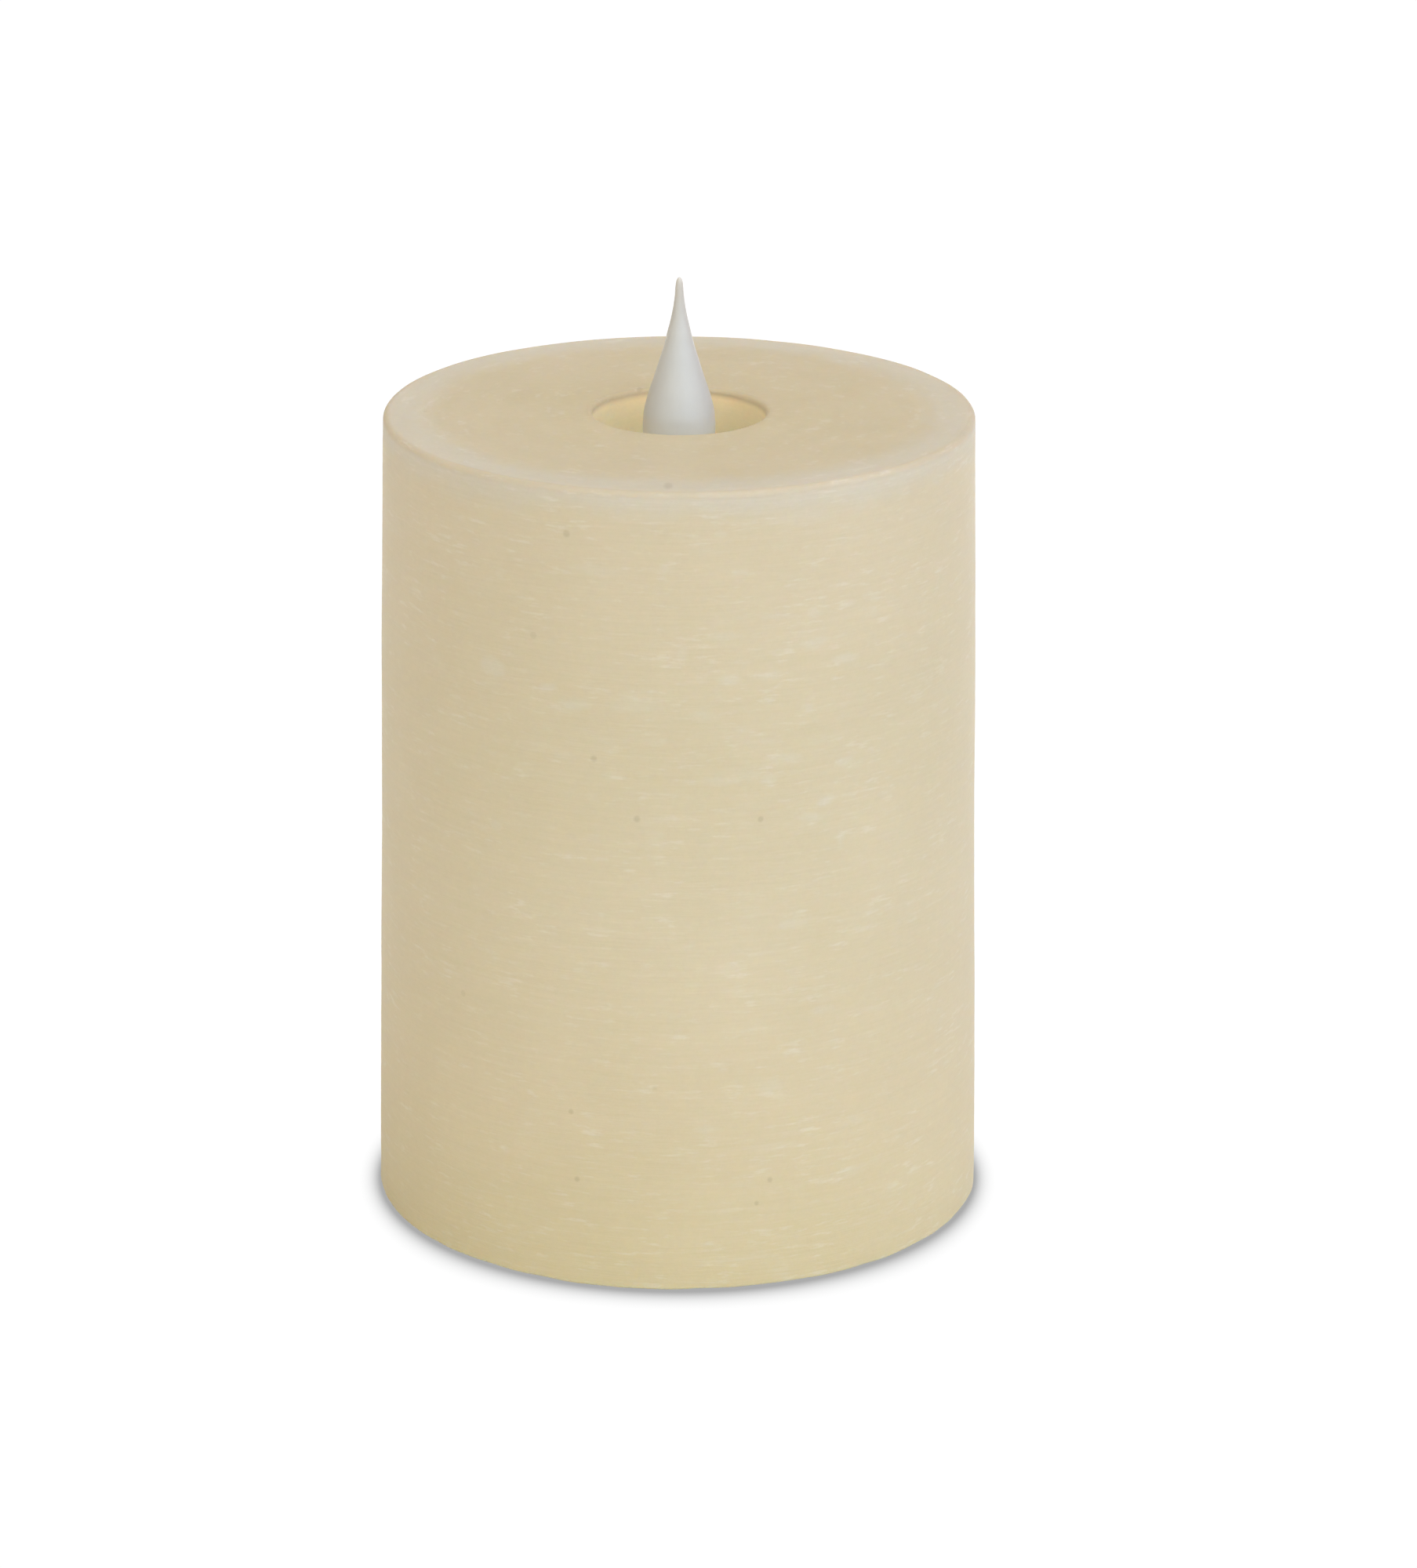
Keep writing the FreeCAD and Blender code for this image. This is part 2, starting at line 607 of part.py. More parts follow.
def cell(label, side):
    """AA cell with a crimped positive end and its button, pointing to side on X."""
    body = new_body(label)
    rad, length = size.cell_rad, size.cell_len
    lathe(body, [(0, 0), (rad - 0.6, 0), (rad, 0.5), (rad, length - 2.6),
                 (rad - 0.15, length - 2.3), (rad - 0.15, length - 1.9),
                 (rad - 0.7, length - 1.3), (2.75, length - 1.3), (2.75, length), (0, length)])
    place(body, (-side * (length - 2.5) * 0.5, -side * size.cell_y, size.cell_z),
          Rotation(ABOUT_Y, side * 90))


cell("battery_cell_1", 1)
cell("battery_cell_2", -1)


def on_wall(obj, wall, y):
    """Stands a contact on the +X (1) or -X (-1) end wall, its Z into the box."""
    place(obj, (wall * plate_x, y, size.cell_z), Rotation(ABOUT_Y, -90 * wall))


def contact(label, wall, y, half_width, tail=False, cone_y=None):
    """Contact plate, with an optional solder tail and raised cone."""
    body = new_body(label)
    block_at(body, ADD, 0, 0, 5.25, half_width, -size.contact_len, 0)
    if tail:
        block(body, ADD, 5.0, 11.15, -1.2, 1.2, -size.contact_len, 0)
    if cone_y is not None:
        cone(body, 0, cone_y, -0.1, 1.6, 3.2, 1.5)
    on_wall(body, wall, y)


def spring(label, wall):
    """Conical contact spring: round wire wound on the local upright axis."""
    gap = 4.1                       # from the plate to the cell
    turns, steps = 3.25, 20         # steps are points per turn
    taper = 1.6                     # radius lost from plate to cell
    wire_rad = size.spring_wire.num
    rise = gap - 2 * wire_rad - 0.04
    path = []
    for i in range(int(turns * steps) + 1):
        t = i / (turns * steps)
        angle = 2 * math.pi * turns * t
        rad = size.spring_rad.num - taper * t
        path.append((rad * math.cos(angle), rad * math.sin(angle),
                     wire_rad + 0.02 + rise * t))
    feat = swept(label, [path], size.spring_wire, pieces=13)
    on_wall(feat, wall, wall * size.cell_y)


contact("positive_contact", 1, -size.cell_y, 4, tail=True, cone_y=0)
contact("negative_contact", 1, size.cell_y, 4, tail=True)
spring("negative_spring", 1)
contact("bridge_contact", -1, 0, size.cell_y + 4, cone_y=size.cell_y)
spring("bridge_spring", -1)

# ================================================================ base plate
base = new_body("base_plate")
rim_in = size.base_rad - size.rim_wall
lathe(base, [(0, size.base_z), (size.foot_in, size.base_z), (size.foot_in, 0),
             (size.foot_out, 0), (size.foot_out, size.base_z), (size.base_rad, size.base_z),
             (size.base_rad, size.rim_top), (rim_in, size.rim_top), (rim_in, base_top),
             (0, base_top)])
# door opening, with a narrower part at the hinge
block(base, CUT, size.neck_x, size.door_end, -size.door_half, size.door_half,
      size.base_z - 0.5, base_top + 0.5)
block(base, CUT, size.hinge_x - 1.7, size.neck_x + 0.5, -8.8, 8.8,
      size.base_z - 0.5, base_top + 0.5)
# hinge knuckles
for side in SIDES:
    block(base, ADD, size.hinge_x - 1.9, size.hinge_x + 1.15,
          *span(side * 6.2, side * 9.6), size.base_z, base_top + 1.0)
cross_bar(base, CUT, size.hinge_x, size.hinge_z, 8.6, size.pin_hole)
# raised pads, head recesses and clearance holes of the base screws
for mode, z0, z1, rad in ((ADD, base_top - 0.5, boss_bot, 3.6),
                          (CUT, size.base_z - 1, size.base_z + size.boss_sink, 2.4),
                          (CUT, size.base_z + 1, base_top + 3, size.screw_clear)):
    feat = round_bar(base, mode, size.boss_off, size.boss_off, z0, z1, rad)
    polar(base, [feat], 4)
# posts for the main board
for side in SIDES:
    round_bar(base, ADD, side * size.post_off, size.switch_y, base_top - 0.5,
              size.board_z, 2.4)
for side in SIDES:
    round_bar(base, CUT, side * size.post_off, size.switch_y, base_top + 0.4,
              size.board_z + 1, size.board_pilot)
# recess and slot for the switch knob
block_at(base, CUT, 0, size.switch_y, 5.2, 2.6, size.base_z - 1, size.base_z + 1.2)
block_at(base, CUT, 0, size.switch_y, 3.3, 1.15, size.base_z, base_top + 1)

base_screws = new_body("base_screws")
for sx, sy in CORNERS:
    screw(base_screws, sx * size.boss_off, sy * size.boss_off, size.base_z + size.boss_sink,
          9.4, down=False, head=2.2)

# ================================================================ battery door
door = new_body("battery_door")
door_top = size.door_z + size.door_len
door_end = size.door_end - size.door_gap
door_y = size.door_half - size.door_gap
door_neck = -27.4                   # where the hinge tab meets the door
sk = sketch(door, "XY_Plane",
            [(size.hinge_x, -size.tab_half), (door_neck, -size.tab_half),
             (door_neck, -door_y), (door_end, -door_y), (door_end, door_y),
             (door_neck, door_y), (door_neck, size.tab_half), (size.hinge_x, size.tab_half)],
            at=(0, 0, size.door_z))
pad = door.newObject("PartDesign::Pad", "battery_door_pad")
pad.Profile = sk
bind(pad, "Length", size.door_len)
# hinge barrel and pins
cross_bar(door, ADD, size.hinge_x, size.hinge_z, size.tab_half, 1.3)
cross_bar(door, ADD, size.hinge_x, size.hinge_z, 8.4, size.pin_rad)
# snap tongue with its bead, and the thumb ridges below it
block(door, ADD, door_end - 1.4, door_end, -4.5, 4.5, door_top - 0.5, door_top + 1.2)
block(door, ADD, door_end - 0.5, door_end + 0.1, -3.5, 3.5, door_top + 0.6, door_top + 1.1)
for i in range(4):
    ridge_x = door_end - 3.0 - i * 1.6
    block(door, ADD, ridge_x, ridge_x + 0.8, -6, 6, size.door_z - 0.5, size.door_z + 0.4)
# ribs that hold the cells up against the roof
for sx, sy in CORNERS:
    block_at(door, ADD, sx * 14.0, sy * size.cell_y, 0.6, 3, door_top - 0.5, door_top + 0.9)

# ================================================================ main board and switch
board = new_body("main_board")
block(board, ADD, -size.board_x, size.board_x, size.board_y, size.board_y + size.board_wid,
      size.board_z, board_top)
for side in SIDES:
    round_bar(board, CUT, side * size.post_off, size.switch_y, size.board_z - 1,
              size.board_z + 3, 1.1)

board_screws = new_body("board_screws")
for side in SIDES:
    screw(board_screws, side * size.post_off, size.switch_y, board_top, 6.2,
          head=1.9, head_len=1.3, rad=size.board_screw)

# Switch body hanging under the board: case, mounting lugs, hollow, knob slot
switch_body = new_body("slide_switch_body")
block_at(switch_body, ADD, 0, size.switch_y, 4.3, 2.2, 5.4, size.board_z)
block_at(switch_body, ADD, 0, size.switch_y, 6.0, 1.0, size.board_z - 0.5, size.board_z)
block_at(switch_body, CUT, 0, size.switch_y, 4.0, 1.5, 5.9, 7.4)
block_at(switch_body, CUT, 0, size.switch_y, 3.1, 1.0, 5.0, 6.5)

# Knob: slider, stalk and three grooves in its lower face
knob = new_body("switch_knob")
block_at(knob, ADD, size.switch_rest, size.switch_y, 1.9, 1.4, 6.0, 7.2)
block_at(knob, ADD, size.switch_rest, size.switch_y, 0.9, 0.8, 1.2, 6.5)
for i in (-1, 0, 1):
    block_at(knob, CUT, size.switch_rest + i * 0.6, size.switch_y, 0.12, 1, 1.0, 1.45)

PIN_PITCH = 1.27                    # chip legs and transistor legs

chip = new_body("controller_chip")
block(chip, ADD, -2.45, 2.45, 25.2, 29.1, board_top + 0.15, board_top + 1.55)
for i in range(4):
    for leg_y in (24.8, 29.5):
        block_at(chip, ADD, i * PIN_PITCH - 1.9, leg_y, 0.2, 0.6, board_top, board_top + 0.4)

# Crystal can lying along X, with a thinner end
crystal = new_body("timing_crystal")
for x, rad, length in ((-9.5, 1.0, 5.6), (-4.2, 0.8, 0.6)):
    primitive(crystal, "AdditiveCylinder", (x, 30.9, board_top + 1.05),
              Rotation(ABOUT_Y, 90), Radius=rad, Height=length)

capacitor = new_body("smoothing_capacitor")
lathe(capacitor, [(0, 0.1), (2.3, 0.1), (2.5, 0.4), (2.5, 1.4), (2.35, 1.7), (2.5, 2.0),
                  (2.5, 6.7), (2.25, 7.0), (0, 6.9)])
for side in SIDES:
    round_bar(capacitor, ADD, side * 1.0, 0, 0.0, 0.5, 0.25)
place(capacitor, (7.5, 29.0, board_top))

# Round case with a flat front, on three legs
transistor = new_body("drive_transistor")
round_bar(transistor, ADD, 0, 0, 2.0, 6.6, 2.3)
block(transistor, CUT, -3, 3, -3, -1.3, 1, 8)
for i in (-1, 0, 1):
    block_at(transistor, ADD, i * PIN_PITCH, 0, 0.22, 0.22, 0, 2.5)
place(transistor, (6.5, 21.6, board_top))

resistors = new_body("chip_resistors")
for y in (20.5, 22.7, 24.9, 27.1):
    block_at(resistors, ADD, -8.5, y, 1.6, 0.8, board_top, board_top + 0.6)

# ================================================================ leads
# Paths are lists of (x, y, z) stations.
tail_z = size.cell_z.num + 11.3     # lead ends on the solder tails
land_z = board_top.num + 0.15       # lead ends on the main board
RED_PATH = [
    (28.4, -7.5, tail_z), (28.3, -7.2, tail_z + 1.0), (26.9, -3.5, 25.3), (26.0, 1.5, 25.8),
    (24.6, 9.0, 25.8), (20.0, 17.6, 23.0), (14.4, 22.3, 16.0), (12.4, 22.6, 12.6),
    (12.3, 22.6, land_z)]
BLACK_PATH = [
    (28.4, 7.5, tail_z), (28.3, 7.8, tail_z + 0.9), (26.4, 13.0, 23.6), (22.0, 18.2, 21.0),
    (17.0, 20.2, 15.6), (14.9, 20.4, 12.4), (14.8, 20.4, land_z)]
swept("battery_wire_red", [RED_PATH], size.lead_rad)
swept("battery_wire_black", [BLACK_PATH], size.lead_rad)


def riser(board_x, col_x, out):
    """Fine lead from the main board, over the battery box and up in the column.

    It runs from board_x to col_x; out moves it away from its neighbours."""
    part = out * 0.75
    path = [(board_x, 20.9 + out, land_z), (board_x, 20.9 + out, land_z + 2.0),
            (board_x * 0.9, 21.0 + out, 17.0), (board_x * 0.75, 20.9 + out, 21.5),
            (board_x * 0.6 + col_x * 0.3, 19.6 + part, 24.9 + part),
            (board_x * 0.3 + col_x * 0.6, 16.2, 26.6 + out), (col_x, 12.0, 27.2 + out),
            (col_x, 8.2 + part * 0.4, 28.6 + part), (col_x, 5.8 + part, 31.9 + part * 0.4),
            (col_x, 4.9 + out, 36.0)]
    return path + [(col_x, 4.85 + out, z) for z in (44.0, 52.0, 60.0, 68.0)]


coil_runs = []
for x, board_x in ((-0.55, -1.5), (0.55, 0.6)):
    coil_runs.append(riser(board_x, x, 0.0)
                     + [(x, 5.0, 71.9), (x * 3, 7.0, 73.6), (x * 5, 9.3, 74.3)])
swept("coil_wires", coil_runs, size.fine_rad)

led_runs = []
led_board_z = size.led_board_z.num
for x, board_x in ((-1.1, -3.4), (1.1, 2.5)):
    top_x = 1.8 * x
    led_runs.append(riser(board_x, x, 1.1)
                    + [(x, 6.7, 71.6), (x * 1.1, 9.6, 73.1), (top_x, 12.1, 75.8),
                       (top_x, 12.6, 85.0), (top_x, 12.5, led_board_z - 2),
                       (top_x, 12.5, led_board_z - 0.12)])
swept("led_wires", led_runs, size.fine_rad)

# ================================================================ check and write
doc.recompute()
bad = []
for obj in doc.Objects:
    if "Invalid" in obj.State or "Error" in obj.State:
        bad.append("%s: %s" % (obj.Label, obj.State))
for node in nodes:
    if node.Shape.isNull() or not node.Shape.isValid() or not node.Shape.Solids:
        bad.append("%s: bad shape" % node.Label)
if bad:
    raise SystemExit("not built: " + "; ".join(bad))
os.makedirs("parts", exist_ok=True)
for node in nodes:
    node.Shape.exportStep(os.path.join("parts", node.Label + ".step"))
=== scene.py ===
import math
import bpy
import numpy as np
from mathutils import Matrix, Vector, noise


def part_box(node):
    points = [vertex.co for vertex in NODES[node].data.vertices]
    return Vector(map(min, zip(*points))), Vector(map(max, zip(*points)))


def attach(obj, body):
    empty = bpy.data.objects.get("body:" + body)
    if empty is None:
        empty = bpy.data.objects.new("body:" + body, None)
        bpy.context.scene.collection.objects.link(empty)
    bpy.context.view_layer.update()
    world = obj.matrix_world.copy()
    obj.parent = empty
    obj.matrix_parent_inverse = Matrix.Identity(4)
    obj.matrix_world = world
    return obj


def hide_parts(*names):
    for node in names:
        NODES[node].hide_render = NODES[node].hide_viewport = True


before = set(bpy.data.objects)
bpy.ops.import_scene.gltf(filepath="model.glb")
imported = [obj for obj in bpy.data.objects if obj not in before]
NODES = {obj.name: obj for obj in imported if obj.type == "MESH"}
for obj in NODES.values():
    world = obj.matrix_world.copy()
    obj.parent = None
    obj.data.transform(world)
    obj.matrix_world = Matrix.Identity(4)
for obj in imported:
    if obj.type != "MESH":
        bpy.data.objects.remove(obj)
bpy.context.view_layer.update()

MM = 0.001
SCENE = bpy.context.scene


# ------------------------------------------------------------ places, from the frame
def corners(node):
    lo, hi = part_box(node)
    return [v / MM for v in lo], [v / MM for v in hi]


wax_lo, wax_hi = corners("wax_shell")
R = (wax_hi[0] - wax_lo[0]) / 2          # outer radius of the pillar
TOP = wax_hi[2]                          # flat top
BOT = wax_lo[2]
up_lo, up_hi = corners("housing_upper")
gas_lo, gas_hi = corners("housing_gasket")
CEIL = gas_hi[2]                         # underside of the wax top
base_lo, base_hi = corners("base_plate")
INNER = base_hi[0] + 0.1                 # wall of the cavity
WELL = 12.95
fl_lo, fl_hi = corners("flame_shell")
FOOT = fl_lo[2]
RISE = fl_hi[2] - TOP


# ------------------------------------------------------------ node helpers
class Tree(object):
    """Short names for building a shader tree."""

    def __init__(self, name):
        self.m = bpy.data.materials.new(name)
        self.m.use_nodes = True
        self.t = self.m.node_tree
        self.t.nodes.clear()
        self.out = self.t.nodes.new("ShaderNodeOutputMaterial")
        self.bsdf = self.t.nodes.new("ShaderNodeBsdfPrincipled")
        self.t.links.new(self.bsdf.outputs[0], self.out.inputs["Surface"])
        self._pos = None

    def node(self, kind, **kw):
        n = self.t.nodes.new(kind)
        for k, v in kw.items():
            setattr(n, k, v)
        return n

    def put(self, sock, value):
        if isinstance(value, bpy.types.NodeSocket):
            self.t.links.new(value, sock)
        elif value is not None:
            sock.default_value = value

    def pos(self):
        """Position in the row frame at rest, in millimetres."""
        if self._pos is None:
            tc = self.node("ShaderNodeTexCoord")
            v = self.node("ShaderNodeVectorMath", operation="SCALE")
            self.t.links.new(tc.outputs["Object"], v.inputs[0])
            v.inputs["Scale"].default_value = 1000.0
            self._pos = v.outputs[0]
        return self._pos

    def xyz(self, vec=None):
        s = self.node("ShaderNodeSeparateXYZ")
        self.put(s.inputs[0], vec or self.pos())
        return s.outputs[0], s.outputs[1], s.outputs[2]

    def join(self, x, y, z):
        c = self.node("ShaderNodeCombineXYZ")
        for i, v in enumerate((x, y, z)):
            self.put(c.inputs[i], v)
        return c.outputs[0]

    def math(self, op, a, b=None, c=None, clamp=False):
        n = self.node("ShaderNodeMath", operation=op, use_clamp=clamp)
        self.put(n.inputs[0], a)
        if b is not None:
            self.put(n.inputs[1], b)
        if c is not None:
            self.put(n.inputs[2], c)
        return n.outputs[0]

    def vscale(self, vec, x, y, z):
        n = self.node("ShaderNodeVectorMath", operation="MULTIPLY")
        self.put(n.inputs[0], vec)
        n.inputs[1].default_value = (x, y, z)
        return n.outputs[0]

    def noise(self, vec, scale=1.0, detail=3.0, rough=0.5, dist=0.0):
        n = self.node("ShaderNodeTexNoise")
        self.put(n.inputs["Vector"], vec)
        n.inputs["Scale"].default_value = scale
        n.inputs["Detail"].default_value = detail
        n.inputs["Roughness"].default_value = rough
        n.inputs["Distortion"].default_value = dist
        return n.outputs["Fac"]

    def voronoi(self, vec, scale=1.0, feature="F1", out="Distance", rand=1.0):
        n = self.node("ShaderNodeTexVoronoi", feature=feature)
        self.put(n.inputs["Vector"], vec)
        n.inputs["Scale"].default_value = scale
        n.inputs["Randomness"].default_value = rand
        return n.outputs[out]

    def span(self, v, a, b, lo=0.0, hi=1.0, smooth=True):
        """v from a..b to lo..hi, clamped."""
        n = self.node("ShaderNodeMapRange", clamp=True)
        n.interpolation_type = "SMOOTHSTEP" if smooth else "LINEAR"
        if a > b:                       # the node's smooth form needs rising ends
            a, b, lo, hi = b, a, hi, lo
        self.put(n.inputs["Value"], v)
        n.inputs["From Min"].default_value = a
        n.inputs["From Max"].default_value = b
        n.inputs["To Min"].default_value = lo
        n.inputs["To Max"].default_value = hi
        return n.outputs["Result"]

    def mix(self, fac, a, b, blend="MIX"):
        n = self.node("ShaderNodeMix", data_type="RGBA", blend_type=blend)
        self.put(n.inputs["Factor"], fac)
        self.put(n.inputs["A"], a if isinstance(a, bpy.types.NodeSocket) else tuple(a) + (1.0,))
        self.put(n.inputs["B"], b if isinstance(b, bpy.types.NodeSocket) else tuple(b) + (1.0,))
        return n.outputs["Result"]

    def bump(self, height, dist_mm, strength=1.0, base=None):
        n = self.node("ShaderNodeBump")
        n.inputs["Strength"].default_value = strength
        n.inputs["Distance"].default_value = dist_mm * MM
        self.put(n.inputs["Height"], height)
        if base is not None:
            self.put(n.inputs["Normal"], base)
        return n.outputs[0]

    def polar(self):
        """(radius, angle times the pillar radius, height), all in millimetres."""
        x, y, z = self.xyz()
        r = self.math("POWER", self.math("ADD", self.math("MULTIPLY", x, x),
                                         self.math("MULTIPLY", y, y)), 0.5)
        ang = self.math("ARCTAN2", x, self.math("MULTIPLY", y, -1.0))   # 0 at the front
        return r, self.math("MULTIPLY", ang, R), z

    def surface(self, **kw):
        for k, v in kw.items():
            self.put(self.bsdf.inputs[k.replace("_", " ")], v)
        return self.m


def srgb(r, g, b):
    f = lambda c: c / 12.92 if c <= 0.04045 else ((c + 0.055) / 1.055) ** 2.4
    return tuple(f(c / 255.0) for c in (r, g, b))


# ------------------------------------------------------------ mesh helpers
def mesh_object(name, verts, faces, smooth=True):
    me = bpy.data.meshes.new(name)
    me.from_pydata([tuple(v) for v in verts], [], faces)
    me.update()
    if smooth:
        me.polygons.foreach_set("use_smooth", [True] * len(me.polygons))
    ob = bpy.data.objects.new(name, me)
    SCENE.collection.objects.link(ob)
    return ob


def turned(name, profile, seg, relief=None, closed=True):
    """Dense turned mesh from a list of (radius, height) in mm.  The profile runs
    so that its left side is the material; relief(angle, i, r, z) moves a point
    along the profile's outward normal, in mm.  A profile point at radius 0
    becomes one pole vertex."""
    n = len(profile)
    pts = np.array(profile, float)
    nxt = np.roll(pts, -1, 0)
    prv = np.roll(pts, 1, 0)
    if not closed:
        nxt[-1], prv[0] = pts[-1], pts[0]
    tan = nxt - prv
    tan /= np.maximum(np.linalg.norm(tan, axis=1), 1e-9)[:, None]
    nor = np.stack([tan[:, 1], -tan[:, 0]], 1)      # to the right of the direction of travel
    verts, rows = [], []
    for i, (r, z) in enumerate(pts):
        if r < 1e-6:
            rows.append([len(verts)])
            verts.append((0.0, 0.0, z * MM))
            continue
        row = []
        for k in range(seg):
            a = 2 * math.pi * k / seg
            d = relief(a, i, r, z) if relief else 0.0
            rr, zz = r + nor[i, 0] * d, z + nor[i, 1] * d
            row.append(len(verts))
            verts.append((rr * math.sin(a) * MM, -rr * math.cos(a) * MM, zz * MM))
        rows.append(row)
    faces = []
    last = n if closed else n - 1
    for i in range(last):
        a, b = rows[i], rows[(i + 1) % n]
        if len(a) == 1 and len(b) == 1:
            continue
        for k in range(seg):
            k2 = (k + 1) % seg
            if len(a) == 1:
                faces.append((a[0], b[k2], b[k]))
            elif len(b) == 1:
                faces.append((a[k], a[k2], b[0]))
            else:
                faces.append((a[k], a[k2], b[k2], b[k]))
    return mesh_object(name, verts, faces)


def arc(cx, cz, rad, a0, a1, n):
    """Points of an arc, angles in degrees from +r towards +z."""
    return [(cx + rad * math.cos(math.radians(a0 + (a1 - a0) * i / n)),
             cz + rad * math.sin(math.radians(a0 + (a1 - a0) * i / n))) for i in range(n + 1)]


def line(p, q, n):
    """Points from p to q, without q."""
    return [(p[0] + (q[0] - p[0]) * i / n, p[1] + (q[1] - p[1]) * i / n) for i in range(n)]


# ------------------------------------------------------------ wax pillar
SH, LIP, HEM, VAULT = 0.9, 0.8, 0.5, 4.0


def wax_profile():
    p = []
    # outer wall, upwards, then over the top, down the well and back inside
    p += arc(R - HEM, BOT + HEM, HEM, -90, 0, 6)
    p += line((R, BOT + HEM + 0.4), (R, TOP - SH), 176)
    p += arc(R - SH, TOP - SH, SH, 0, 90, 10)
    p += line((R - SH - 0.5, TOP), (WELL + LIP, TOP), 44)
    p += arc(WELL + LIP, TOP - LIP, LIP, 90, 180, 7)
    p += line((WELL, TOP - LIP - 0.4), (WELL, CEIL), 16)
    p += line((WELL, CEIL), (INNER - VAULT, CEIL), 12)
    p += arc(INNER - VAULT, CEIL - VAULT, VAULT, 90, 0, 6)
    p += line((INNER, CEIL - VAULT - 1), (INNER, BOT), 24)
    p += line((INNER, BOT), (R - HEM, BOT), 5)
    return p


def wax_relief(a, i, r, z):
    """Hand-finished wax: long shallow waves, faint turning marks, a softer hem."""
    if z < CEIL - 0.01 and r < INNER + 0.5:
        return 0.0
    x, y = math.sin(a), -math.cos(a)
    v = noise.noise(Vector((x * 2.1, y * 2.1, z * 0.030))) * 0.10
    v += noise.noise(Vector((x * 5.5 + 7, y * 5.5, z * 0.11))) * 0.045
    v += noise.noise(Vector((x * 9 - 3, y * 9, z * 0.85))) * 0.016
    low = max(0.0, 1.0 - (z - BOT) / 11.0)
    v += noise.noise(Vector((x * 8 + 11, y * 8, z * 0.28))) * 0.14 * low
    if r < R - SH - 0.01 and z > TOP - 0.5:            # the poured top: soft and nearly level
        v = noise.noise(Vector((x * r * 0.09, y * r * 0.09, 4.0))) * 0.05
        v += noise.noise(Vector((x * r * 0.32, y * r * 0.32, 9.0))) * 0.02
    return v - 0.05


wax = turned("wax_pillar", wax_profile(), 360, wax_relief)
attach(wax, "base")
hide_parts("wax_shell")


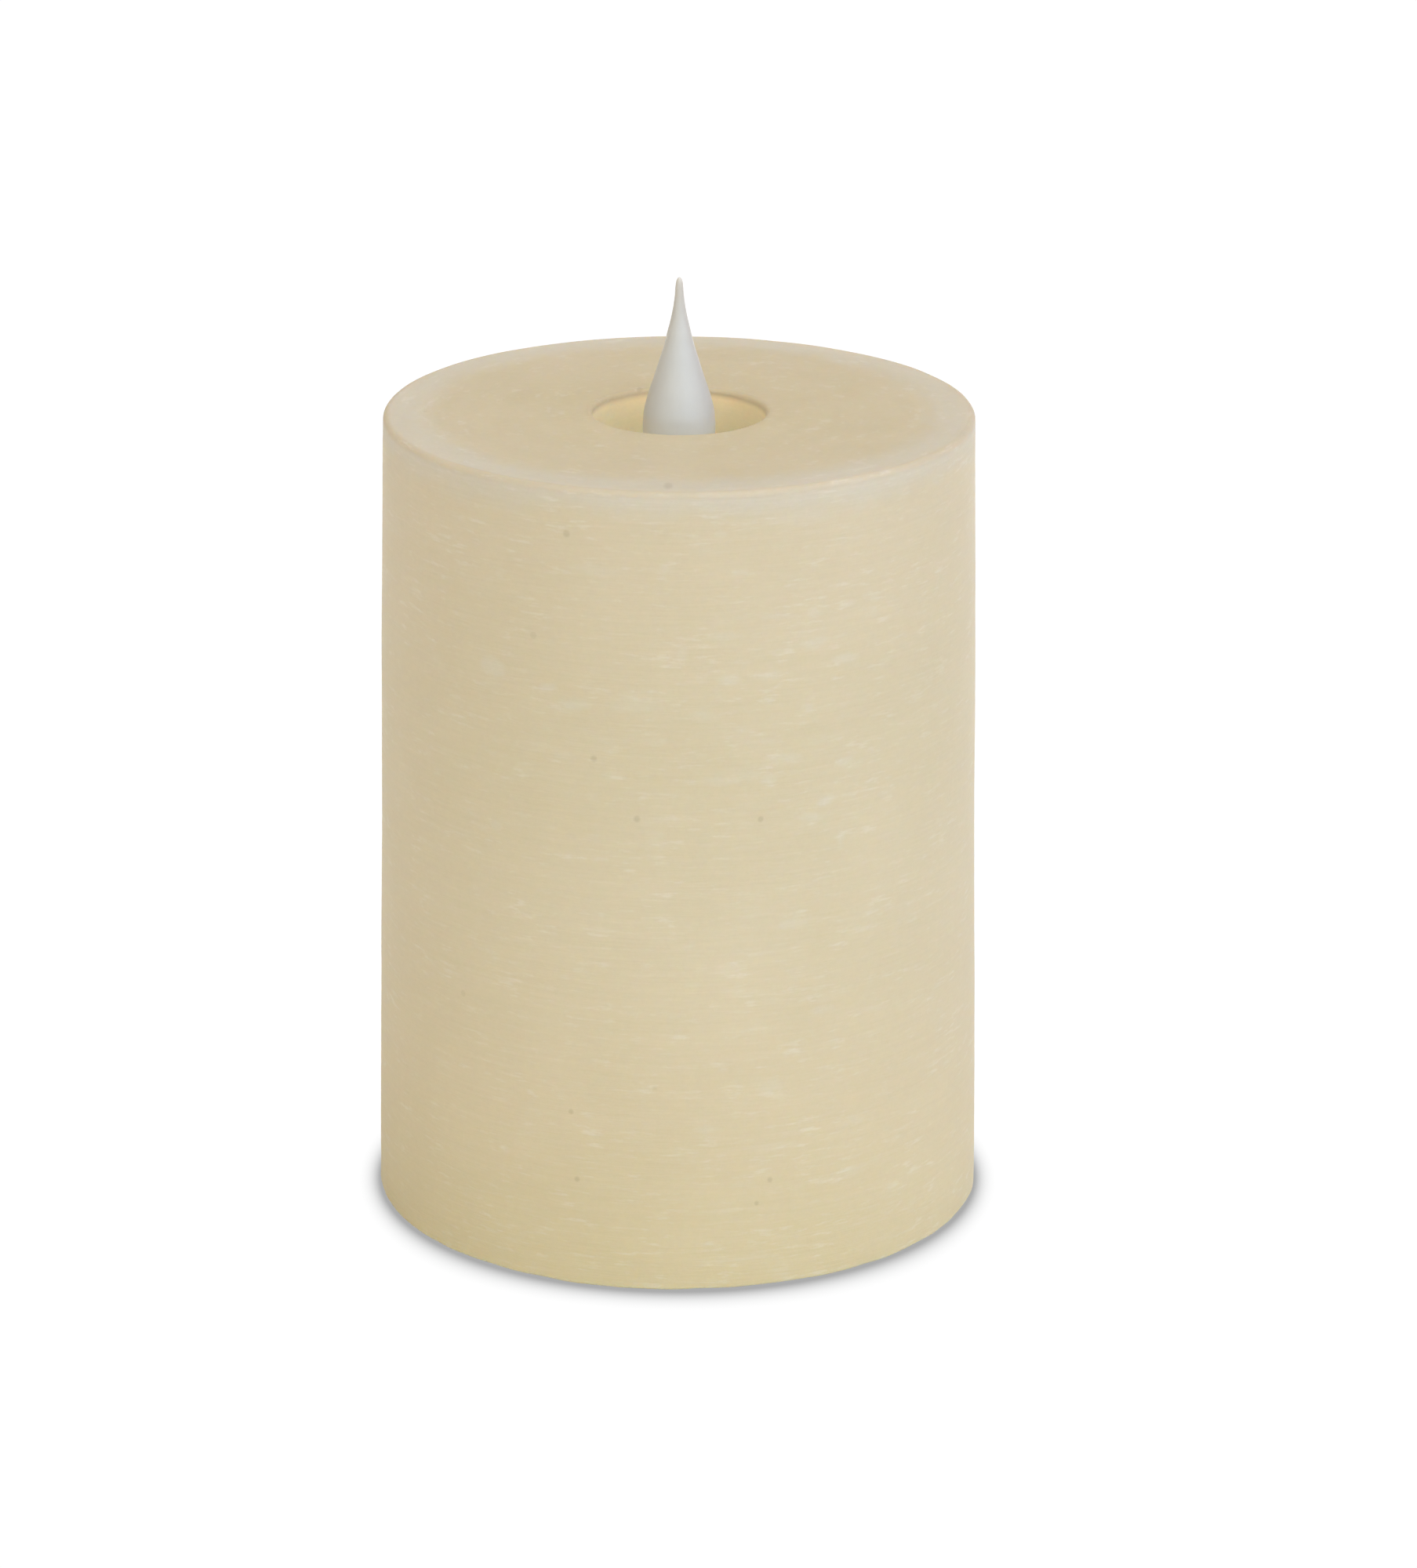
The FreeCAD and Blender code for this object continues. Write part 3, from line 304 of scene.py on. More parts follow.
def wax_material():
    t = Tree("ivory_wax")
    r, arc_len, z = t.polar()
    skin = t.join(arc_len, t.math("MULTIPLY", r, 1.0), z)
    side = t.span(r, R - 2.2, R - 0.9)                    # 1 on the side wall
    depth = t.math("SUBTRACT", TOP, z)

    # slow drifts of tone in the pour
    blotch = t.noise(t.pos(), 0.035, 3.0, 0.55)
    blotch2 = t.noise(t.pos(), 0.16, 4.0, 0.6)
    # marks of the turning tool: long round the pillar, fine up it
    marks = t.noise(t.vscale(skin, 0.055, 0.3, 1.9), 1.0, 5.0, 0.62)
    fine = t.noise(t.vscale(skin, 0.35, 0.6, 3.6), 1.0, 4.0, 0.6)
    pores = t.noise(t.pos(), 2.6, 4.0, 0.7)

    # colour steps with height: a little warmer and darker towards the foot
    col = t.mix(t.span(z, TONES[0][0], TONES[1][0], smooth=False), TONES[0][1], TONES[1][1])
    for (z0, _), (z1, c1) in zip(TONES[1:], TONES[2:]):
        col = t.mix(t.span(z, z0, z1, smooth=False), col, c1)
    face = t.mix(t.span(r, 14.0, 36.0), WAX_FACE_IN, WAX_FACE)
    col = t.mix(side, face, col)

    # painted light: the thin wall of the well gets a brighter, saturated colour and a faint
    # glow, for the light that comes through the wax from all round
    well_light = t.math("MULTIPLY", t.span(r, WELL + 2.2, WELL + 0.2), t.span(depth, 0.3, 1.6))
    col = t.mix(well_light, col, WAX_WELL_PAINTED_LIGHT)

    # pale, cool band along the top edge, on the face and a little way down the side: painted
    # light through the thin rim, together with bloom
    drift = t.math("MULTIPLY", t.math("SUBTRACT", blotch2, 0.5), 5.0)
    on_face = t.span(t.math("ADD", r, drift), 35.0, 41.0)
    on_side = t.span(t.math("ADD", depth, drift), 5.5, 0.3)
    rim_light_bloom = t.math("MULTIPLY", on_face, on_side)
    col = t.mix(t.math("MULTIPLY", rim_light_bloom, 0.80), col, WAX_RIM_LIGHT_BLOOM)

    # painted shade over the rounded top edge, which damps its highlight
    brim_shade = t.math("MULTIPLY", t.span(r, R - 1.35, R - 0.45), t.span(depth, 1.5, 0.35))
    col = t.mix(t.math("MULTIPLY", brim_shade, 0.90), col, WAX_BRIM_SHADE)
    # a darker, warmer band round the lip of the well
    mouth = t.math("MULTIPLY", t.span(r, WELL + 1.5, WELL + 0.5), t.span(depth, 1.1, 0.3))
    col = t.mix(t.math("MULTIPLY", mouth, 0.8), col, WAX_MOUTH)

    # broken frosty smears that follow the tool marks
    smear = t.noise(t.vscale(skin, 0.10, 0.2, 0.36), 1.0, 5.0, 0.62, 0.6)
    smear = t.span(smear, 0.52, 0.74)
    torn = t.span(marks, 0.30, 0.66)
    region = t.span(t.noise(t.pos(), 0.028, 1.0, 0.5), 0.40, 0.62)
    right = t.math("MULTIPLY", t.span(arc_len, -6.0, 8.0), t.span(arc_len, 42.0, 30.0))
    region = t.math("MAXIMUM", t.math("MULTIPLY", region, 0.45), t.math("MULTIPLY", right, 0.55))
    frost = t.math("MULTIPLY", t.math("MULTIPLY", smear, torn), t.math("MULTIPLY", region, side))
    ragged = t.math("SUBTRACT", t.noise(t.vscale(skin, 0.28, 0.4, 0.75), 1.0, 4.0, 0.62), 0.5)
    for a0, z0, wa, wz, amt in PATCHES:
        da = t.math("MULTIPLY", t.math("SUBTRACT", arc_len, a0), 1.0 / wa)
        dz = t.math("MULTIPLY", t.math("SUBTRACT", z, z0), 1.0 / wz)
        d = t.math("ADD", t.math("MULTIPLY", da, da), t.math("MULTIPLY", dz, dz))
        d = t.math("ADD", d, t.math("MULTIPLY", t.math("SUBTRACT", smear, 0.5), -0.5))
        d = t.math("ADD", d, t.math("MULTIPLY", ragged, 2.6))
        frost = t.math("MAXIMUM", frost, t.math("MULTIPLY", t.span(d, 1.25, 0.0), amt))
    col = t.mix(t.math("MULTIPLY", frost, 0.42), col, WAX_FROST)

    # tiny dark inclusions
    speck = None
    for a0, z0, rad in SPECKS:
        da = t.math("SUBTRACT", arc_len, a0)
        dz = t.math("SUBTRACT", z, z0)
        d = t.math("POWER", t.math("ADD", t.math("MULTIPLY", da, da),
                                   t.math("MULTIPLY", dz, dz)), 0.5)
        s = t.span(d, rad * 1.25, rad * 0.35)
        speck = s if speck is None else t.math("MAXIMUM", speck, s)
    speck = t.math("MULTIPLY", speck, side)
    x, y, _ = t.xyz()
    for x0, y0, rad in FACE_SPECKS:
        dx = t.math("SUBTRACT", x, x0)
        dy = t.math("MULTIPLY", t.math("SUBTRACT", y, y0), 0.42)
        d = t.math("POWER", t.math("ADD", t.math("MULTIPLY", dx, dx),
                                   t.math("MULTIPLY", dy, dy)), 0.5)
        s = t.math("MULTIPLY", t.span(d, rad * 1.25, rad * 0.35), t.span(depth, 0.6, 0.3))
        speck = t.math("MAXIMUM", speck, s)
    spots = t.voronoi(t.pos(), 0.060)
    few = t.span(spots, 0.040, 0.022)
    speck = t.math("MAXIMUM", speck, t.math("MULTIPLY", few, 0.5))
    col = t.mix(t.math("MULTIPLY", speck, 0.24), col, (0.22, 0.16, 0.09))

    # pale flecks of bloom strung along the turning marks, thicker in some places
    fleck = t.span(t.noise(t.vscale(skin, 0.26, 0.6, 1.5), 1.0, 4.0, 0.60), 0.53, 0.70)
    thick = t.span(blotch2, 0.42, 0.62)
    fleck = t.math("MULTIPLY", fleck, t.math("ADD", t.math("MULTIPLY", thick, 0.22), 0.07))
    col = t.mix(fleck, col, (0.690, 0.655, 0.600))

    # fine tone: marks, blotches and grain, a percent or two each
    tone = t.math("ADD", t.math("MULTIPLY", t.math("SUBTRACT", blotch, 0.5), 0.10),
                  t.math("MULTIPLY", t.math("SUBTRACT", marks, 0.5), 0.082))
    tone = t.math("ADD", tone, t.math("MULTIPLY", t.math("SUBTRACT", fine, 0.5), 0.062))
    tone = t.math("ADD", tone, t.math("MULTIPLY", t.math("SUBTRACT", pores, 0.5), 0.055))
    mottle = t.noise(t.pos(), 0.85, 5.0, 0.68)
    tone = t.math("ADD", tone, t.math("MULTIPLY", t.math("SUBTRACT", mottle, 0.5), 0.068))
    tone = t.math("ADD", tone, 1.0)
    shade = t.join(tone, tone, t.math("ADD", t.math("MULTIPLY", tone, 1.6), -0.6))
    n = t.node("ShaderNodeMix", data_type="RGBA", blend_type="MULTIPLY")
    n.inputs["Factor"].default_value = 1.0
    t.put(n.inputs["A"], col)
    t.put(n.inputs["B"], shade)
    col = n.outputs["Result"]

    rough = t.math("ADD", t.math("MULTIPLY", marks, 0.16), 0.40)
    rough = t.math("ADD", rough, t.math("MULTIPLY", frost, 0.20))
    rough = t.math("ADD", rough, t.math("MULTIPLY", rim_light_bloom, 0.12))
    b = t.bump(t.math("MULTIPLY", marks, side), 0.06, 0.5)
    b = t.bump(t.math("MULTIPLY", fine, side), 0.03, 0.5, b)
    b = t.bump(pores, 0.012, 0.5, b)
    b = t.bump(blotch2, 0.25, 0.25, b)
    # painted light: the well wall glows faintly, as if lit through the wax
    t.put(t.bsdf.inputs["Emission Color"], WAX_WELL_PAINTED_GLOW + (1.0,))
    t.put(t.bsdf.inputs["Emission Strength"], well_light)
    return t.surface(Base_Color=col, Roughness=rough, Normal=b, Subsurface_Weight=0.85,
                     Subsurface_Radius=(1.0, 0.62, 0.30), Subsurface_Scale=2.6 * MM,
                     Specular_IOR_Level=0.38, IOR=1.44)


# ------------------------------------------------------------ marks on the wax
# (distance round the pillar from the front, height, half widths, strength) in mm
PATCHES = []
SPECKS = []
FACE_SPECKS = [(-1.55, -40.7, 0.75), (-6.0, 12.3, 0.5)]
CAM_D, CAM_H, FOCAL, CX, CY, ROLL = 967.1, 371.2, 8228.0, 870.9, -1662.6, 0.00224


def on_side(px, py):
    """Round-the-pillar distance and height of a mark, from the viewing geometry."""
    u, v = px - CX, py - CY
    u, v = u + ROLL * v, v - ROLL * u
    a = math.asin(max(-0.99, min(0.99, u * (CAM_D - R * 0.6) / FOCAL / R)))
    for _ in range(12):
        depth = CAM_D - R * math.cos(a)
        a = math.asin(max(-0.999, min(0.999, u * depth / FOCAL / R)))
    return a * R, CAM_H - v * depth / FOCAL


for px, py, wa, wz, amt in ((628, 848, 2.6, 1.9, 0.80), (698, 877, 1.8, 0.8, 0.75),
                            (734, 897, 2.9, 1.4, 0.85), (810, 895, 5.6, 1.9, 0.50),
                            (920, 682, 1.2, 0.8, 0.7), (945, 730, 1.7, 0.8, 0.8),
                            (995, 787, 3.2, 0.8, 0.6), (1040, 780, 1.8, 0.9, 0.75),
                            (1080, 770, 1.9, 0.8, 0.75), (1115, 764, 1.3, 0.7, 0.6),
                            (1040, 820, 3.4, 1.1, 0.65), (925, 812, 3.0, 0.8, 0.5),
                            (1078, 840, 2.9, 1.0, 0.75), (930, 866, 2.1, 1.1, 0.8),
                            (976, 864, 3.4, 0.9, 0.55), (1030, 904, 1.8, 0.9, 0.8),
                            (900, 914, 2.6, 1.0, 0.6), (1000, 968, 3.4, 1.1, 0.65),
                            (1075, 972, 2.2, 0.9, 0.75), (980, 994, 1.6, 1.0, 0.75),
                            (1052, 1022, 2.0, 1.4, 0.75), (1040, 1042, 3.3, 1.0, 0.7),
                            (1072, 1070, 0.9, 1.8, 0.7), (910, 997, 4.5, 0.8, 0.45),
                            (765, 728, 5.0, 1.0, 0.45), (850, 728, 2.0, 1.1, 0.55),
                            (638, 731, 1.2, 0.9, 0.55), (720, 965, 2.6, 1.0, 0.40),
                            (780, 991, 2.0, 1.0, 0.5), (632, 1052, 1.4, 0.9, 0.6),
                            (832, 945, 2.6, 1.0, 0.4), (835, 1075, 2.4, 2.6, 0.35),
                            (1018, 662, 7.0, 1.3, 0.40), (560, 845, 3.0, 1.6, 0.35),
                            (870, 835, 1.0, 2.0, 0.45), (1010, 1180, 2.6, 1.0, 0.55),
                            (930, 1235, 3.0, 1.2, 0.45), (1050, 1290, 2.4, 1.0, 0.5),
                            (980, 1385, 3.4, 1.2, 0.45), (900, 1440, 2.2, 0.9, 0.4),
                            (1085, 1430, 2.6, 1.0, 0.45)):
    PATCHES.append(on_side(px, py) + (wa, wz, amt))
for px, py, rad in ((852, 619, 0.0), (722, 681, 0.60), (757, 968, 0.55), (812, 1045, 0.55),
                    (970, 1045, 0.5), (728, 1418, 0.45), (736, 1504, 0.45), (982, 1505, 0.45),
                    (965, 1535, 0.4)):
    if rad:
        SPECKS.append(on_side(px, py) + (rad,))

TONES = [(2.0, (0.551, 0.464, 0.297)),
         (25.0, (0.570, 0.480, 0.329)),
         (50.0, (0.573, 0.490, 0.346)),
         (75.0, (0.564, 0.482, 0.338)),
         (106.0, (0.572, 0.485, 0.349))]
WAX_FACE = (0.560, 0.483, 0.355)
WAX_FACE_IN = (0.560, 0.480, 0.340)
# painted light on the well wall: its brighter colour and its glow
WAX_WELL_PAINTED_LIGHT = (0.860, 0.720, 0.470)
WAX_WELL_PAINTED_GLOW = (0.046, 0.058, 0.040)
# painted shade over the rounded top edge
WAX_BRIM_SHADE = (0.488, 0.430, 0.342)
WAX_MOUTH = (0.500, 0.425, 0.305)
# painted light through the rim, with bloom
WAX_RIM_LIGHT_BLOOM = (0.546, 0.502, 0.430)
WAX_FROST = (0.610, 0.572, 0.500)
wax.data.materials.append(wax_material())


# ------------------------------------------------------------ flame
# (share of the visible height, radius in mm)
CURVE = [(1.0000, 0.00), (0.9975, 0.14), (0.9900, 0.30), (0.9740, 0.45), (0.9490, 0.545),
         (0.9260, 0.594), (0.9030, 0.620), (0.8790, 0.650), (0.8550, 0.697), (0.8320, 0.757),
         (0.8080, 0.823), (0.7830, 0.905), (0.7610, 0.985), (0.7380, 1.073), (0.7130, 1.168),
         (0.6900, 1.264), (0.6680, 1.372), (0.6430, 1.498), (0.6170, 1.632), (0.5974, 1.745),
         (0.5110, 2.160), (0.3830, 2.960), (0.2550, 3.780), (0.1270, 4.620), (0.0000, 5.270),
         (-0.0640, 5.400), (-0.1285, 5.440), (-0.2000, 5.410), (-0.3000, 5.230),
         (-0.4016, 4.920)]


def smooth_curve(points, n):
    """Catmull-Rom through the points, n steps a span."""
    out = []
    for i in range(len(points) - 1):
        p0 = np.array(points[max(i - 1, 0)])
        p1, p2 = np.array(points[i]), np.array(points[i + 1])
        p3 = np.array(points[min(i + 2, len(points) - 1)])
        d01, d12, d23 = (max(np.linalg.norm(b - a), 1e-6) ** 0.5
                         for a, b in ((p0, p1), (p1, p2), (p2, p3)))
        if i == 0:
            m1 = p2 - p1
        else:
            m1 = p2 - p1 + d12 * ((p1 - p0) / d01 - (p2 - p0) / (d01 + d12))
        if i == len(points) - 2:
            m2 = p2 - p1
        else:
            m2 = p2 - p1 + d12 * ((p3 - p2) / d23 - (p3 - p1) / (d12 + d23))
        for k in range(n):
            s = k / n
            out.append((2 * p1 - 2 * p2 + m1 + m2) * s ** 3
                       + (-3 * p1 + 3 * p2 - 2 * m1 - m2) * s ** 2 + m1 * s + p1)
    out.append(np.array(points[-1]))
    return out


def flame_profile():
    outer = smooth_curve([(r, TOP + RISE * f) for f, r in CURVE], 5)
    outer = [(max(float(p[0]), 0.0), float(p[1])) for p in outer]
    outer[0] = (0.0, TOP + RISE)
    foot = [(4.90, FOOT + 0.12), (4.80, FOOT), (4.45, FOOT), (4.36, FOOT + 0.10)]
    inner = [(4.36, FOOT + 2.1), (4.62, TOP - 3.2), (4.42, TOP), (4.05, TOP + 2.2),
             (3.25, TOP + 4.6), (2.45, TOP + 7.7), (1.36, TOP + 10.8), (0.68, TOP + 13.9),
             (0.0, TOP + 16.4)]
    inner = [(max(float(p[0]), 0.0), float(p[1])) for p in smooth_curve(inner, 4)]
    inner[-1] = (0.0, TOP + 16.4)
    prof = outer[:-1] + foot + inner
    return prof[::-1]


def flame_relief(a, i, r, z):
    """Barely visible ripple of moulded plastic."""
    if r < 0.4 or z < FOOT + 0.5:
        return 0.0
    x, y = math.sin(a), math.cos(a)
    return noise.noise(Vector((x * 1.3, y * 1.3, z * 0.22))) * 0.035 * min(1.0, r / 3.0)


flame = turned("flame_teardrop", flame_profile(), 128, flame_relief, closed=False)
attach(flame, "flame")
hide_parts("flame_shell")


def flame_material():
    t = Tree("frosted_flame")
    x, y, z = t.xyz()
    cloud = t.noise(t.pos(), 0.25, 3.0, 0.5)
    streak = t.noise(t.vscale(t.pos(), 1.4, 1.4, 0.22), 1.0, 4.0, 0.6)
    grain = t.noise(t.pos(), 7.0, 3.0, 0.6)
    # painted shade: the tip is given a darker colour than the body
    tip_shade = t.span(z, TOP + 9.0, TOP + 19.0)
    # painted light: the foot of the flame, down in the well, is given a much paler colour
    low = t.span(z, TOP + 1.0, TOP - 6.0)
    col = t.mix(tip_shade, FLAME_BODY, FLAME_TIP_SHADE)
    col = t.mix(t.math("MULTIPLY", low, 0.6), col, FLAME_FOOT_LIGHT)
    tone = t.math("ADD", t.math("MULTIPLY", t.math("SUBTRACT", cloud, 0.5), 0.05),
                  t.math("MULTIPLY", t.math("SUBTRACT", streak, 0.5), 0.04))
    tone = t.math("ADD", tone, 1.0)
    n = t.node("ShaderNodeMix", data_type="RGBA", blend_type="MULTIPLY")
    n.inputs["Factor"].default_value = 1.0
    t.put(n.inputs["A"], col)
    t.put(n.inputs["B"], t.join(tone, tone, tone))
    # the mould's parting line, front to back in the plane of the swing
    seam = t.span(t.math("ABSOLUTE", t.math("SUBTRACT", y, 0.0)), 0.05, 0.16, 1.0, 0.0)
    rough = t.math("ADD", t.math("MULTIPLY", streak, 0.12), 0.33)
    b = t.bump(grain, 0.012, 0.5)
    b = t.bump(streak, 0.03, 0.4, b)
    b = t.bump(seam, 0.02, 0.4, b)
    return t.surface(Base_Color=n.outputs["Result"], Roughness=rough, Normal=b,
                     Subsurface_Weight=0.8, Subsurface_Radius=(1.0, 0.95, 0.85),
                     Subsurface_Scale=1.6 * MM, Specular_IOR_Level=0.45,
                     Coat_Weight=0.12, Coat_Roughness=0.25)


FLAME_BODY = (0.545, 0.530, 0.522)
# painted shade at the tip of the flame
FLAME_TIP_SHADE = (0.500, 0.474, 0.452)
# painted light at the foot of the flame, down in the well
FLAME_FOOT_LIGHT = (0.900, 0.885, 0.845)
flame.data.materials.append(flame_material())


# ------------------------------------------------------------ materials of the works
def plastic(name, base, rough=0.45, grain=2.2, depth=0.02, flow=0.05, hollow_shade=0.10, coat=0.0,
            sss=0.0):
    """Moulded plastic: spark-eroded grain, flow marks, dulled in places, with painted shade in
    the hollows.
    """
    t = Tree(name)
    cloud = t.noise(t.pos(), 0.12, 4.0, 0.6)
    flows = t.noise(t.vscale(t.pos(), 0.5, 0.5, 0.09), 1.0, 4.0, 0.55, 0.8)
    erode = t.noise(t.pos(), grain, 5.0, 0.65)
    geo = t.node("ShaderNodeNewGeometry")
    edge = t.span(geo.outputs["Pointiness"], 0.505, 0.56)
    hollow_shade_mask = t.span(geo.outputs["Pointiness"], 0.49, 0.44)
    dark = tuple(c * 0.82 for c in base)
    pale = tuple(min(1.0, c * 1.10 + 0.015) for c in base)
    col = t.mix(t.math("MULTIPLY", t.span(cloud, 0.35, 0.7), flow * 4), base, dark)
    col = t.mix(t.math("MULTIPLY", t.span(flows, 0.5, 0.8), flow * 3), col, pale)
    col = t.mix(t.math("MULTIPLY", edge, 0.35), col, pale)
    # painted shade: darker in the hollows
    col = t.mix(t.math("MULTIPLY", hollow_shade_mask, hollow_shade * 3), col, tuple(c * 0.6 for c in base))
    r = t.math("ADD", t.math("MULTIPLY", erode, 0.18), rough - 0.09)
    r = t.math("ADD", r, t.math("MULTIPLY", edge, -0.08))
    b = t.bump(erode, depth, 0.6)
    b = t.bump(flows, 0.05, 0.2, b)
    kw = dict(Base_Color=col, Roughness=r, Normal=b, Coat_Weight=coat)
    if sss:
        kw.update(Subsurface_Weight=sss, Subsurface_Radius=(1.0, 0.9, 0.8),
                  Subsurface_Scale=0.8 * MM)
    return t.surface(**kw)


def metal(name, base, rough=0.28, stretch=(6.0, 0.4, 0.4), depth=0.01, tarnish=0.25,
          stain=(0.35, 0.31, 0.26)):
    """Drawn or stamped metal: fine directional lines, patches of dulling."""
    t = Tree(name)
    lines = t.noise(t.vscale(t.pos(), *stretch), 1.0, 6.0, 0.7)
    patch = t.noise(t.pos(), 0.45, 4.0, 0.6)
    geo = t.node("ShaderNodeNewGeometry")
    edge = t.span(geo.outputs["Pointiness"], 0.505, 0.56)
    col = t.mix(t.math("MULTIPLY", t.span(patch, 0.48, 0.75), tarnish), base, stain)
    col = t.mix(t.math("MULTIPLY", lines, 0.18), col, tuple(c * 0.7 for c in base))
    col = t.mix(t.math("MULTIPLY", edge, 0.4), col, tuple(min(1.0, c * 1.2) for c in base))
    r = t.math("ADD", t.math("MULTIPLY", lines, 0.2), rough - 0.1)
    r = t.math("ADD", r, t.math("MULTIPLY", t.span(patch, 0.48, 0.75), 0.2))
    b = t.bump(lines, depth, 0.5)
    return t.surface(Base_Color=col, Metallic=1.0, Roughness=r, Normal=b)


def board_material(name, mask=(0.012, 0.105, 0.040)):
    """Circuit board: solder mask over tracks, tinned pads, bare fibre at the edge."""
    t = Tree(name)
    x, y, z = t.xyz()
    flat = t.join(x, y, 0.0)
    geo = t.node("ShaderNodeNewGeometry")
    facing = t.math("ABSOLUTE", t.xyz(geo.outputs["Normal"])[2])
    face = t.span(facing, 0.5, 0.8)
    grid = t.voronoi(flat, 0.42, out="Distance", rand=0.85)
    tracks = t.node("ShaderNodeTexBrick")
    t.put(tracks.inputs["Vector"], flat)
    tracks.inputs["Scale"].default_value = 0.55
    tracks.inputs["Mortar Size"].default_value = 0.10
    tracks.inputs["Mortar Smooth"].default_value = 0.1
    tracks.inputs["Color1"].default_value = (0, 0, 0, 1)
    tracks.inputs["Color2"].default_value = (0, 0, 0, 1)
    tracks.inputs["Mortar"].default_value = (1, 1, 1, 1)
    tr = t.math("MULTIPLY", tracks.outputs["Color"], 1.0)
    pads = t.span(grid, 0.24, 0.20)
    cloud = t.noise(t.pos(), 0.5, 3.0, 0.6)
    col = t.mix(tr, mask, tuple(c * 1.9 + 0.01 for c in mask))
    col = t.mix(t.math("MULTIPLY", cloud, 0.25), col, tuple(c * 0.6 for c in mask))
    col = t.mix(pads, col, (0.62, 0.60, 0.55))
    col = t.mix(face, (0.42, 0.38, 0.20), col)
    weave = t.noise(t.pos(), 4.0, 4.0, 0.6)
    r = t.math("ADD", t.math("MULTIPLY", weave, 0.2), 0.22)
    b = t.bump(tr, 0.035, 0.8)
    b = t.bump(weave, 0.01, 0.4, b)
    return t.surface(Base_Color=col, Roughness=r, Normal=b,
                     Metallic=t.math("MULTIPLY", t.math("MULTIPLY", pads, face), 0.9))


def wound_material():
    """Enamelled copper wire."""
    t = Tree("copper_winding")
    r, arc_len, z = t.polar()
    turn = t.math("SINE", t.math("MULTIPLY", z, 2 * math.pi / 0.22))
    wander = t.noise(t.vscale(t.pos(), 0.5, 0.5, 3.0), 1.0, 4.0, 0.6)
    col = t.mix(t.span(wander, 0.35, 0.75), (0.72, 0.24, 0.085), (0.55, 0.15, 0.05))
    # painted shade in the grooves between the turns
    col = t.mix(t.math("MULTIPLY", t.span(turn, -0.2, -0.9), 0.6), col, (0.16, 0.04, 0.015))
    b = t.bump(turn, 0.05, 0.8)
    return t.surface(Base_Color=col, Metallic=0.85, Normal=b,
                     Roughness=t.math("ADD", t.math("MULTIPLY", wander, 0.2), 0.16),
                     Coat_Weight=0.5, Coat_Roughness=0.12)


def cell_material(name, side):
    """Dry cell: printed film jacket, bare crimped steel at both ends."""
    t = Tree(name)
    x, y, z = t.xyz()
    along = t.math("MULTIPLY", x, float(side))           # rises towards the button
    film = t.math("MULTIPLY", t.span(along, -23.7, -23.5), t.span(along, 24.2, 24.0))
    ring_ = t.math("MULTIPLY", t.span(along, 12.0, 12.15), t.span(along, 20.0, 19.85))
    thin = t.math("MULTIPLY", t.span(along, 10.4, 10.5), t.span(along, 11.2, 11.1))
    scuff = t.noise(t.vscale(t.pos(), 3.0, 0.6, 0.6), 1.0, 5.0, 0.7)
    cloud = t.noise(t.pos(), 0.3, 3.0, 0.6)
    jacket = t.mix(t.math("MAXIMUM", ring_, thin), (0.020, 0.060, 0.115), (0.42, 0.43, 0.44))
    jacket = t.mix(t.math("MULTIPLY", t.span(scuff, 0.60, 0.74), 0.35), jacket,
                   (0.30, 0.31, 0.33))
    jacket = t.mix(t.math("MULTIPLY", cloud, 0.2), jacket, (0.01, 0.02, 0.04))
    steel = t.mix(cloud, (0.62, 0.61, 0.58), (0.46, 0.45, 0.42))
    col = t.mix(film, steel, jacket)
    r = t.math("ADD", t.math("MULTIPLY", scuff, 0.25), 0.18)
    b = t.bump(scuff, 0.015, 0.5)
    b = t.bump(film, 0.06, 0.8, b)
    metal_ = t.math("SUBTRACT", 1.0, t.math("MULTIPLY", film, 0.75))
    return t.surface(Base_Color=col, Metallic=metal_, Roughness=r, Normal=b)


def foam_material():
    """Open-cell foam strip."""
    t = Tree("foam")
    cells = t.voronoi(t.pos(), 2.4)
    soft = t.noise(t.pos(), 0.8, 4.0, 0.6)
    # painted shade: the pores darker than the cell walls
    col = t.mix(t.span(cells, 0.15, 0.55), (0.012, 0.012, 0.012), (0.055, 0.055, 0.058))
    col = t.mix(t.math("MULTIPLY", soft, 0.3), col, (0.09, 0.09, 0.085))
    b = t.bump(cells, 0.25, 0.9)
    return t.surface(Base_Color=col, Roughness=0.95, Normal=b)


def resin_material(name, base, trans=0.0):
    """Epoxy: chip packages when dark, LED domes when clear."""
    t = Tree(name)
    cloud = t.noise(t.pos(), 1.2, 4.0, 0.6)
    fine = t.noise(t.pos(), 9.0, 3.0, 0.6)
    col = t.mix(cloud, base, tuple(c * 0.78 for c in base))
    kw = dict(Base_Color=col, Normal=t.bump(fine, 0.006, 0.5),
              Roughness=t.math("ADD", t.math("MULTIPLY", fine, 0.15),
                               0.05 if trans else 0.42))
    if trans:
        kw.update(Transmission_Weight=trans, IOR=1.5, Coat_Weight=0.3)
    return t.surface(**kw)


def lead_material(name, base):
    """Soft cable insulation, paler in rubbed patches."""
    t = Tree(name)
    cloud = t.noise(t.pos(), 0.7, 4.0, 0.6)
    rub = t.noise(t.pos(), 4.0, 4.0, 0.6)
    col = t.mix(t.math("MULTIPLY", cloud, 0.5), base, tuple(c * 0.65 for c in base))
    col = t.mix(t.math("MULTIPLY", t.span(rub, 0.62, 0.8), 0.3), col,
                tuple(min(1.0, c * 1.4 + 0.02) for c in base))
    return t.surface(Base_Color=col, Normal=t.bump(rub, 0.02, 0.4), Coat_Weight=0.1,
                     Roughness=t.math("ADD", t.math("MULTIPLY", rub, 0.2), 0.32))


